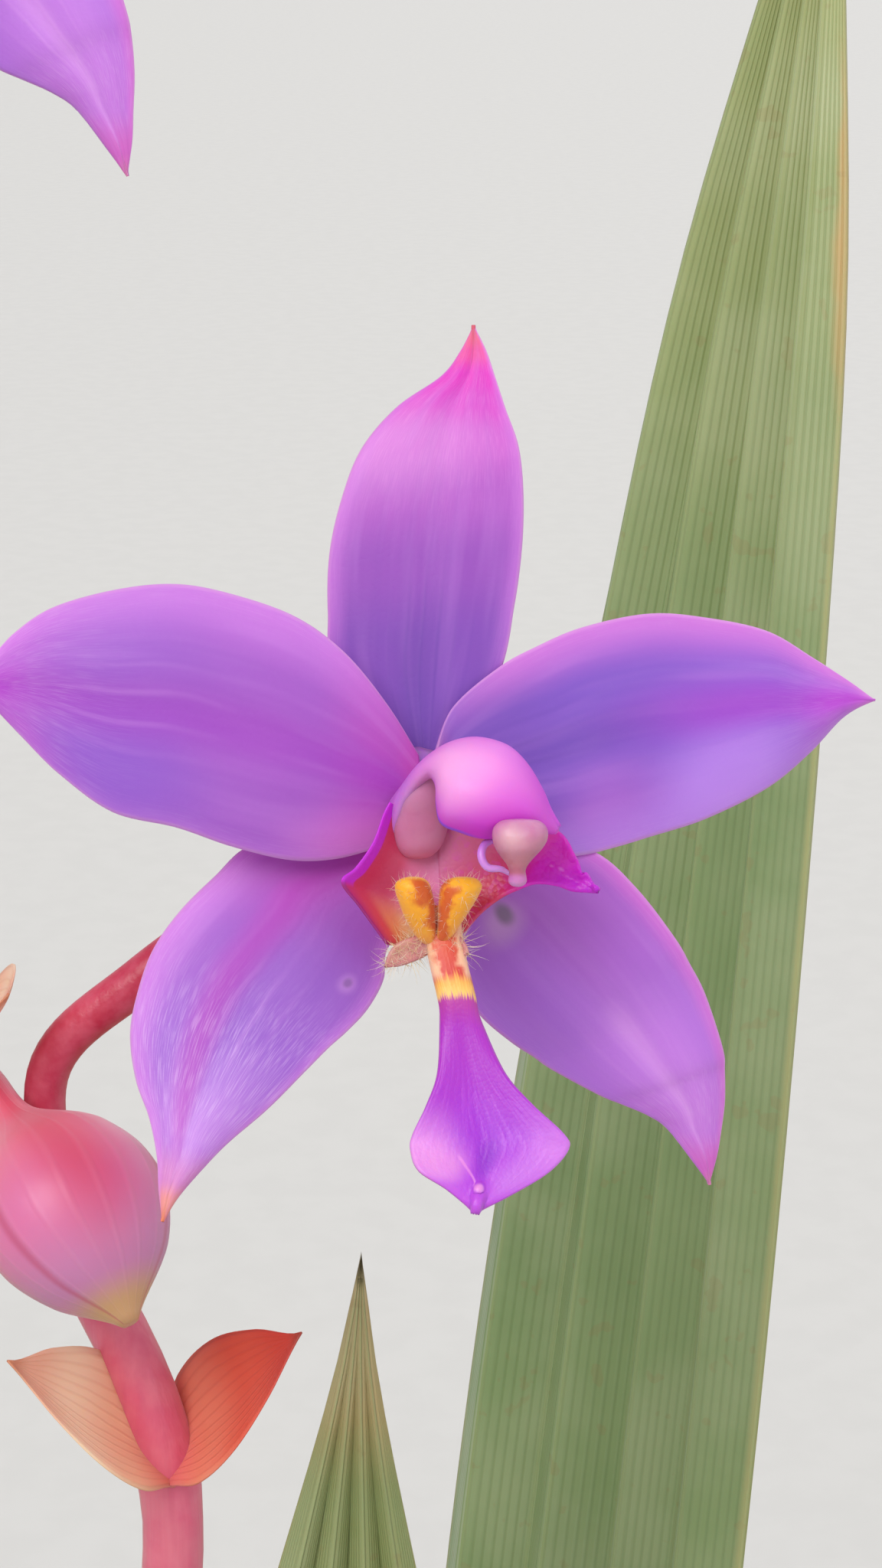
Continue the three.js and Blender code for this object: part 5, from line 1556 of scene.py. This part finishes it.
# %% Leaf finish
skin = leaf_finish = Finish("leaf_green", Roughness=0.42, Subsurface_Weight=0.08, Subsurface_Scale=0.0015,
                            Specular_IOR_Level=0.45)
skin.base(skin.along, [
    (0.0, 164, 166, 106), (0.2, 138, 156, 98), (0.45, 128, 152, 98), (0.8, 138, 160, 106),
    (0.94, 162, 170, 110), (0.97, 204, 172, 118), (1.0, 190, 146, 100)])
skin.over((100, 130, 78), skin.mottle(0.035), 0.4)
skin.over((188, 194, 154), skin.mottle(0.012, 5.0), 0.3)
main_veins = skin.veins(8, 0.0, 0.16)
fine_veins = skin.veins(56, 0.3, 0.6)
skin.over((178, 192, 134), main_veins, 0.5)
skin.over((88, 116, 62), fine_veins, 0.18)
margin = skin.maths("ADD", skin.off_middle, skin.scaled(skin.mottle(0.02, 4.0), 0.1))
dry_patches = skin.smooth(skin.mottle(0.07, 2.0), 0.5, 0.8)
skin.over((206, 160, 100), skin.smooth(margin, 0.96, 1.05), dry_patches, 0.7)
skin.over((150, 124, 76), skin.smooth(skin.mottle(0.0022, 2.0), 0.95, 1.0), 0.2)
skin.over((176, 172, 112), skin.smooth(skin.off_middle, 0.96, 1.0), 0.5)
skin.dull(skin.mottle(0.02), 0.36, 0.5)
skin.emboss(fine_veins, 0.4, 0.00015)
skin.emboss(main_veins, 0.4, 0.0003)
print("leaf finish:", leaf_finish.material.name)

# %% Leaf spines
BULB_PLACES = [(-30, 4), (4, 34), (32, 10), (20, -28), (-20, -34)]
BULB_FOOT_Z = 104
BULB_SHELF = 30.5
LEAF_SEAT_RADIUS = 7.6
LEAF_GAP = 0.3
SPINE_STEPS = 12
SPINE_POINTS = 91
PLEAT_DEPTH = 1.5
LEAF_WIDTHS = [(0, 0.13), (0.12, 0.12), (0.24, 0.17), (0.36, 0.5), (0.48, 0.84), (0.6, 1), (0.72, 0.97),
               (0.82, 0.8), (0.91, 0.5), (1, 0)]
LEAF_WORDS = ("bulb", "seat", "heading", "length", "lean", "bend", "width", "sway", "twist")
LEAVES = [dict(zip(LEAF_WORDS, row)) for row in (
    (1, 20, 22, 450, 4.5, 8, 44, 9, 10), (1, 180, 122, 415, 5, 58, 48, 5, -16),
    (1, 290, 92, 335, -1, 6, 30, -3, 0), (2, 90, 42, 405, 8, 70, 50, -8, 12),
    (2, 270, 0, 355, 12, 102, 48, 12, -14), (3, 20, -34, 310, 14, 122, 46, 10, 16),
    (3, 200, -80, 290, 12, 128, 42, -12, -12), (4, 250, -122, 325, 10, 116, 48, 10, 14),
    (4, 110, -164, 350, 9, 102, 46, 10, -14), (0, 130, 158, 385, 6, 76, 50, -12, 10))]


def leaf_spine(leaf):
    """The spine of a leaf with, at each point, its direction across and the form of its blade."""
    bulb_x, bulb_y = BULB_PLACES[leaf["bulb"]]
    seat, heading = math.radians(leaf["seat"]), math.radians(leaf["heading"])
    outward = np.array([math.cos(heading), math.sin(heading), 0])
    side = np.array([-outward[1], outward[0], 0])
    upward = np.array([0, 0, 1.0])
    seat_x = bulb_x + LEAF_SEAT_RADIUS * math.cos(seat)
    seat_y = bulb_y + LEAF_SEAT_RADIUS * math.sin(seat)
    places = [np.array([seat_x, seat_y, BULB_FOOT_Z + BULB_SHELF + LEAF_GAP])]
    step = leaf["length"] / SPINE_STEPS
    for i in range(SPINE_STEPS):
        share = (i + 0.5) / SPINE_STEPS
        tilt = math.radians(leaf["lean"] + leaf["bend"] * share**1.5)
        sway = math.sin(math.radians(leaf["sway"] * share))
        places.append(places[-1] + step * (outward * math.sin(tilt) + side * sway + upward * math.cos(tilt)))
    path = space_curve(places, SPINE_POINTS)
    along = unit(np.gradient(path, axis=0))
    share = np.linspace(0, 1, SPINE_POINTS)
    across = np.array([Matrix.Rotation(math.radians(leaf["twist"] * s), 3, Vector(t)) @ Vector(side)
                       for s, t in zip(share, along)])
    across = unit(across - (across * along).sum(1, keepdims=True) * along)
    half = leaf["width"] / 2 * np.maximum(outline_curve(LEAF_WIDTHS, share)[:, 1], 0)
    stalkness = np.clip((0.42 - share) / 0.25, 0, 1)
    stalkness = stalkness**2 * (3 - 2 * stalkness)
    pleat = PLEAT_DEPTH * np.minimum(1, half / 12) * (1 - stalkness)
    channel = half * (0.14 + 0.6 * stalkness)
    return path, across, np.stack([half, pleat, channel], 1) * MM


def spine_mesh(path, across, form):
    mesh = bpy.data.meshes.new("spine")
    mesh.from_pydata((path * MM).tolist(), [(i, i + 1) for i in range(len(path) - 1)], [])
    for word, values in (("across", across), ("form", form)):
        mesh.attributes.new(word, "FLOAT_VECTOR", "POINT").data.foreach_set("vector", values.ravel())
    return mesh


print("the longest leaf is", max(leaf["length"] for leaf in LEAVES), "mm")

# %% Make every leaf
LEAF_PLEATS = 8
LEAF_COLUMNS = 57
LEAF_ROWS = 80
LEAF_WALL = 0.00065
for number, leaf in enumerate(LEAVES, start=1):
    node = f"leaf_{number}"
    mesh = grown(node + "_blade", spine_mesh(*leaf_spine(leaf)), leaf_tree, Pleats=LEAF_PLEATS,
                 Columns=LEAF_COLUMNS, Rows=LEAF_ROWS, Skin=leaf_finish.material)
    piece = dress(mesh.name, mesh, "leaf", node)
    wall = piece.modifiers.new("wall", "SOLIDIFY")
    wall.thickness = LEAF_WALL
    wall.offset = 0

# %% [markdown]
# ## Pseudobulbs
# The swollen stems at the surface of the mix are green to straw, ringed with scars and fine grooves, and
# dressed in dry fibrous sheaths. The body is a turned profile with its grooves in the mesh; strips of dry
# sheath stand a little proud of it.

# %% Bulb finishes
skin = bulb_finish = Finish("bulb_skin", Roughness=0.5, Subsurface_Weight=0.06, Subsurface_Scale=0.001)
skin.base(skin.along, [
    (0.0, 108, 84, 52), (0.3, 134, 122, 66), (0.55, 128, 140, 72), (0.8, 150, 154, 86), (1.0, 170, 160, 100)])
skin.over((96, 70, 44), skin.mottle(0.006, 5.0), 0.5)
grooves = skin.veins(48, 0.8, 0.7)
skin.over((84, 66, 40), grooves, 0.35)
skin.dull(skin.mottle(0.003), 0.42, 0.66)
skin.emboss(grooves, 0.5, 0.0003)

skin = dry_sheath_finish = Finish("dry_sheath", Roughness=0.72, Sheen_Weight=0.15)
skin.base(skin.mottle(0.004, 6.0), [(0.0, 116, 84, 52), (1.0, 182, 146, 98)])
fibres = skin.veins(26, 0.9, 0.7)
skin.over((86, 60, 38), fibres, 0.45)
skin.emboss(fibres, 0.6, 0.0003)
print("bulb finishes are ready")

# %% Make every pseudobulb
BULB_RADIUS = 14.5
BULB_PROFILE = [(0.3, 0), (0.62 * BULB_RADIUS, 0.4), (0.92 * BULB_RADIUS, 6), (BULB_RADIUS, 14),
                (0.86 * BULB_RADIUS, 24), (11, 30.1), (7.2, 30.6), (3.3, 31.2), (3, 35), (2.5, 39), (0.4, 40)]
BULB_RINGS = 54
BULB_SIDES = 72
SCAR_STEP = 6.5
STRIPS = 7
STRIP_GRID = (16, 11)
STRIP_FOOT = 9
STRIP_THICKNESS = 0.3

profile = outline_curve(BULB_PROFILE, np.linspace(0, 1, BULB_RINGS))
level = profile[:, 1:2]
scars = 1 - 0.018 * np.exp(-((level % SCAR_STEP - 3.2) / 0.5) ** 2)
bulb_side = outline_curve(BULB_PROFILE, np.linspace(0, 1, 200))[:150]
angles = np.linspace(0, 2 * np.pi, BULB_SIDES, endpoint=False)
for number, (x, y) in enumerate(BULB_PLACES, start=1):
    tissue = Tissue()
    grooves = 1 + 0.012 * np.cos(18 * angles + number) + 0.012 * np.cos(5 * angles + 2 * number)
    radius = np.maximum(profile[:, :1], 0.2) * (scars * grooves[None])
    rings = np.stack([x + radius * np.cos(angles), y + radius * np.sin(angles),
                      BULB_FOOT_Z + level + 0 * radius], -1)
    tissue.round_body(rings, bulb_finish)
    maker = random.Random(40 + number)
    for strip in range(STRIPS):
        middle_angle = strip * 0.9 + maker.uniform(-0.2, 0.2)
        reach = maker.uniform(17, 27)
        width = maker.uniform(0.3, 0.5)
        height = np.linspace(STRIP_FOOT, reach, STRIP_GRID[0])[:, None]
        spread = np.linspace(-1, 1, STRIP_GRID[1])[None, :]
        share = (height - STRIP_FOOT) / (reach - STRIP_FOOT)
        at_angle = middle_angle + spread * width * (1 - 0.75 * share**2)
        body_radius = np.interp(height, bulb_side[:, 1], bulb_side[:, 0])
        lifted = body_radius + 0.35 + maker.uniform(0.1, 0.9) * share**3
        middle = np.stack([x + lifted * np.cos(at_angle), y + lifted * np.sin(at_angle),
                           BULB_FOOT_Z + height + 0 * at_angle], -1)
        tissue.sheet(middle, np.full(STRIP_GRID, STRIP_THICKNESS), dry_sheath_finish)
    tissue.piece(f"pseudobulb_{number}_skin", "bulb_skin", f"pseudobulb_{number}")

# %% [markdown]
# ## The pot
# The pot is plain fired clay: turned walls with faint throwing lines, a thick rolled rim and three drain
# holes in its floor. Its profile is the solid's, with rounded corners and many more sides. The holes are
# cut with a Boolean modifier that is applied at once.

# %% Clay finish
skin = clay_finish = Finish("fired_clay", Roughness=0.8, Specular_IOR_Level=0.3)
height_up = skin.split(skin.place)[2]
skin.base(skin.mottle(0.03, 6.0), [(0.0, 160, 88, 56), (0.5, 178, 102, 66), (1.0, 196, 122, 84)])
damp_edge = skin.maths("ADD", height_up, skin.scaled(skin.mottle(0.02, 4.0), 0.02))
damp = skin.fade(damp_edge, 0.02, 0.06)
skin.over((128, 70, 46), damp, 0.5)
lime_zone = skin.between(height_up, 0.03, 0.1, 0.112, 0.13)
lime = skin.scaled(skin.smooth(skin.mottle(0.05, 12.0), 0.35, 1.0), lime_zone)
skin.over((222, 196, 172), lime, 0.5)
skin.over((110, 62, 42), skin.cells(0.0016)["Glint"], 0.16)
skin.over((120, 122, 70), skin.smooth(skin.mottle(0.02, 7.0), 0.8, 1.0), damp, 0.5)
skin.dull(lime, 0.74, 0.9)
throwing_lines = skin.out("ShaderNodeTexWave", {
    "Vector": skin.place, "Scale": 150.0, "Distortion": 1.5, "Detail": 2.0}, bands_direction="Z")["Fac"]
skin.emboss(throwing_lines, 0.25, 0.0003)
skin.emboss(skin.mottle(0.0009, 4.0), 0.3, 0.0002)
print("clay finish:", clay_finish.material.name)

# %% Turn the pot
POT_PROFILE = [
    (0.5, 0.4), (30, 0.4), (46, 0), (50.6, 0.2), (52, 1.6), (58, 36), (64, 71), (69.6, 104), (70.3, 105.6),
    (73, 105.9), (74.1, 107), (75.2, 117), (76, 126.5), (75.6, 128.8), (74, 130), (72, 130), (70.4, 129.2),
    (69.3, 126), (66.5, 112), (60, 76), (54, 41), (48.2, 11), (46.5, 8.6), (44, 8.1), (0.5, 8)]
POT_RINGS = 110
POT_SIDES = 120
POT_OVAL = 0.0012


def turned_rings(profile, count, sides, oval):
    """Rings round the pot's axis through every corner of a profile, a little out of round."""
    profile = np.array(profile, float)
    run = np.concatenate([[0], np.cumsum(np.linalg.norm(np.diff(profile, axis=0), axis=1))])
    shares = np.sort(np.concatenate([np.linspace(0, run[-1], count), run]))
    radius, level = (np.interp(shares, run, profile[:, k]) for k in range(2))
    angles = np.linspace(0, 2 * np.pi, sides, endpoint=False)
    radius = radius[:, None] * (1 + oval * np.cos(2 * angles + 0.6))[None]
    return np.stack([radius * np.cos(angles), radius * np.sin(angles), level[:, None] + 0 * radius], -1)


tissue = Tissue()
tissue.round_body(turned_rings(POT_PROFILE, POT_RINGS, POT_SIDES, POT_OVAL), clay_finish)
pot = tissue.piece("pot_clay", "clay", "pot")

# %% Drill its drain holes
DRAIN_ANGLES = (90, 210, 330)
DRAIN_PLACE = 26
DRAIN_RADIUS = 6
DRAIN_LEVELS = (-2.0, 10.0)
DRAIN_SIDES = 32

around = np.linspace(0, 2 * np.pi, DRAIN_SIDES, endpoint=False)
for angle in DRAIN_ANGLES:
    x = DRAIN_PLACE * math.cos(math.radians(angle)) + DRAIN_RADIUS * np.cos(around)
    y = DRAIN_PLACE * math.sin(math.radians(angle)) + DRAIN_RADIUS * np.sin(around)
    corners = np.concatenate([np.stack([x, y, np.full(DRAIN_SIDES, level)], 1) for level in DRAIN_LEVELS])
    low = range(DRAIN_SIDES)
    walls = [(i, (i + 1) % DRAIN_SIDES, DRAIN_SIDES + (i + 1) % DRAIN_SIDES, DRAIN_SIDES + i) for i in low]
    drill_mesh = bpy.data.meshes.new("drill")
    drill_mesh.from_pydata((corners * MM).tolist(), [], [*walls, tuple(reversed(low)),
                                                         tuple(range(DRAIN_SIDES, 2 * DRAIN_SIDES))])
    drill = bpy.data.objects.new("drill", drill_mesh)
    bpy.context.collection.objects.link(drill)
    drilling = pot.modifiers.new("drill", "BOOLEAN")
    drilling.object = drill
    drilled = plain_copy(pot)
    pot.modifiers.clear()
    pot.data = drilled
    bpy.data.objects.remove(drill)
print("pot has", len(pot.data.polygons), "faces after drilling")

# %% [markdown]
# ## Potting mix
# The mix is dark and loose, with bark chips, white perlite and bits of fibre on top. The bed is a disc
# whose height follows the solid's slope plus small noise. The bits repeat over it in random places and
# turns, so Geometry Nodes scatter them from a few shaped chips.

# %% Mix finishes
skin = soil_finish = Finish("potting_mix", Roughness=0.95, Specular_IOR_Level=0.2)
skin.base(skin.mottle(0.004, 8.0), [(0.0, 36, 26, 20), (0.5, 58, 42, 30), (1.0, 88, 66, 46)])
skin.over((122, 96, 70), skin.cells(0.0011)["Glint"], 0.3)
skin.emboss(skin.mottle(0.0014, 8.0), 0.8, 0.001)

skin = bark_finish = Finish("bark_chip", Roughness=0.85)
grain = skin.mottle(0.003, 7.0, skin.vector("MULTIPLY", skin.place, (1.0, 1.0, 3.0)))
skin.base(grain, [(0.0, 66, 42, 28), (0.5, 112, 72, 46), (1.0, 156, 108, 72)])
skin.emboss(skin.mottle(0.0009, 6.0), 0.7, 0.0005)

skin = perlite_finish = Finish("perlite", Roughness=0.8, Subsurface_Weight=0.2, Subsurface_Scale=0.001)
skin.base(skin.mottle(0.0014, 4.0), [(0.0, 206, 202, 192), (1.0, 240, 238, 230)])
skin.emboss(skin.mottle(0.0005, 4.0), 0.6, 0.0003)

skin = fibre_finish = Finish("coir_fibre", Roughness=0.8)
skin.base(skin.mottle(0.003), [(0.0, 104, 72, 42), (1.0, 158, 118, 72)])
print("mix finishes are ready")

# %% The bed of mix
SOIL_SLOPE = [(0, 119), (12, 118.5), (24, 118), (36, 117), (48, 115.5), (58, 114.5), (64, 112.4), (64.6, 111)]
BED_SIDES = 110
BED_TOP_RINGS = 60
BED_TOP_RADII = (0.6, 64.2)
BED_UNDERSIDE = [(64.3, 104), (58, 60), (50, 8.6), (0.6, 8.6)]


def bed_height(x, y):
    """Height of the mix at a place, with crumbs of two sizes that end short of the pot's wall."""
    radius = np.hypot(x, y)
    level = np.interp(radius, *np.array(SOIL_SLOPE).T)
    crumbs = (0.9 * np.sin(0.37 * x + 1.3) * np.cos(0.41 * y) + 0.7 * np.sin(0.9 * x - 0.7 * y)
              + 0.35 * np.sin(2.3 * x + 1.1 * y) * np.cos(1.9 * y - 0.6 * x))
    return level + crumbs * np.clip((64 - radius) / 6, 0, 1)


under_radius, under_level = np.array(BED_UNDERSIDE).T
angles = np.linspace(0, 2 * np.pi, BED_SIDES, endpoint=False)[None]
bed_radius = np.concatenate([np.linspace(*BED_TOP_RADII, BED_TOP_RINGS), under_radius])[:, None]
bed_x, bed_y = bed_radius * np.cos(angles), bed_radius * np.sin(angles)
bed_z = bed_height(bed_x, bed_y)
bed_z[-len(BED_UNDERSIDE):] = under_level[:, None]
tissue = Tissue()
tissue.round_body(np.stack([bed_x, bed_y, bed_z], -1), soil_finish)
bed = tissue.piece("potting_mix_bed", "potting_mix", "potting_mix")

# %% Chips that the tree scatters
CHIP_CUTS = 9


def chip_mesh(sizes, finish, seed, rounds):
    """A chip: a small rounded block with knocked corners, in metres."""
    shape = bmesh.new()
    bmesh.ops.create_icosphere(shape, subdivisions=rounds, radius=1.0)
    maker = random.Random(seed)
    cuts = [(Vector([maker.uniform(-1, 1) for _ in range(3)]).normalized(), maker.uniform(0.45, 0.8))
            for _ in range(CHIP_CUTS)]
    for corner in shape.verts:
        for direction, reach in cuts:
            over = corner.co.dot(direction) - reach
            if over > 0:
                corner.co -= direction * over
        corner.co = Vector(a * b for a, b in zip(corner.co, sizes)) * MM
    mesh = bpy.data.meshes.new("bit")
    shape.to_mesh(mesh)
    shape.free()
    mesh.materials.append(finish.material)
    return mesh


TOP_OF_MIX = 0.1125
scatter_tree, given, gives = new_group(
    "scattered_bits", "GeometryNodeTree",
    [("Geometry", "Geometry"), ("Bit", "Object"), ("Density", "Float", 8000.0), ("Smallest", "Float", 0.5),
     ("Largest", "Float", 1.2), ("Seed", "Int", 1), ("Skin", "Material")],
    [("Geometry", "Geometry")])
nodes = Nodes(scatter_tree)
seed = given["Seed"]
normal_up = nodes.split(nodes.out("GeometryNodeInputNormal")[0])[2]
level = nodes.split(nodes.out("GeometryNodeInputPosition")[0])[2]
faces_up = nodes.maths("GREATER_THAN", normal_up, 0.3)
on_top = nodes.scaled(faces_up, nodes.maths("GREATER_THAN", level, TOP_OF_MIX))
spots = nodes.out("GeometryNodeDistributePointsOnFaces", {
    "Mesh": given["Geometry"], "Selection": on_top, "Density": given["Density"], "Seed": seed})
bit = nodes.out("GeometryNodeObjectInfo", {0: given["Bit"]})["Geometry"]
any_turn = nodes.out("FunctionNodeRandomValue", {
    0: (-0.6, -0.6, -3.14), 1: (0.6, 0.6, 3.14), "Seed": seed}, data_type="FLOAT_VECTOR")[0]
turned_bit = nodes.out("FunctionNodeEulerToRotation", {0: any_turn})[0]
any_size = nodes.out("FunctionNodeRandomValue", {
    2: given["Smallest"], 3: given["Largest"], "Seed": seed}, data_type="FLOAT")[1]
placed = nodes.out("GeometryNodeInstanceOnPoints", {
    "Points": spots["Points"], "Instance": bit, "Rotation": turned_bit,
    "Scale": nodes.join(any_size, any_size, any_size)})[0]
close_tree(nodes, gives, placed, given["Skin"], smooth=False)

# %% Scatter bark, perlite and fibre
BITS = [  # name, half sizes, finish, how many a square metre, seed, rounds of subdivision
    ("bark_long", (4.6, 2.4, 1.1), bark_finish, 2600, 7, 2),
    ("bark_short", (3.0, 2.2, 1.0), bark_finish, 5200, 8, 2),
    ("perlite_grain", (1.5, 1.4, 1.2), perlite_finish, 5200, 9, 2),
    ("crumb", (1.7, 1.4, 1.2), soil_finish, 16000, 10, 2),
    ("fibre", (5.5, 0.22, 0.22), fibre_finish, 4200, 11, 1)]
for word, sizes, finish, density, seed, rounds in BITS:
    bit_object = bpy.data.objects.new("bit", chip_mesh(sizes, finish, seed, rounds))
    bpy.context.collection.objects.link(bit_object)
    mesh = grown("potting_mix_" + word, bed.data, scatter_tree, Bit=bit_object, Density=density, Smallest=0.5,
                 Largest=1.15, Seed=seed, Skin=finish.material)
    bpy.data.objects.remove(bit_object)
    dress(mesh.name, mesh, "potting_mix", "potting_mix")

# %% [markdown]
# ## Floor and backdrop
# A pale floor without a visible edge keeps the picture quiet. It is many metres wide because the camera
# of the close view looks far over it. Where the floor ends, a backdrop that only the camera sees has the
# floor's own shade, so that no hard line crosses the picture, and the light on the plant stays the same.

# %% Floor
FLOOR_REACH = 40.0
skin = floor_finish = Finish("floor_pale", Roughness=0.7)
skin.base(skin.mottle(0.02), [(0.0, 208, 206, 202), (1.0, 210, 208, 204)])
floor_mesh = bpy.data.meshes.new("floor")
corners = [(x * FLOOR_REACH, y * FLOOR_REACH, 0) for x, y in ((-1, -1), (1, -1), (1, 1), (-1, 1))]
floor_mesh.from_pydata(corners, [], [(0, 1, 2, 3)])
floor_mesh.materials.append(floor_finish.material)
floor = bpy.data.objects.new("floor", floor_mesh)
bpy.context.collection.objects.link(floor)
print("the floor is", 2 * FLOOR_REACH, "m wide")

# %% Backdrop
nodes = Nodes(world.node_tree)
shade = nodes.out("ShaderNodeBackground", {"Color": light_colour(224, 222, 219), "Strength": 1.0})[0]
to_camera = nodes.out("ShaderNodeLightPath")["Is Camera Ray"]
either = nodes.out("ShaderNodeMixShader", {0: to_camera, 1: sky.outputs[0], 2: shade})[0]
nodes.tree.links.new(either, nodes.tree.nodes["World Output"].inputs["Surface"])
print("the backdrop has", len(nodes.tree.nodes), "nodes")
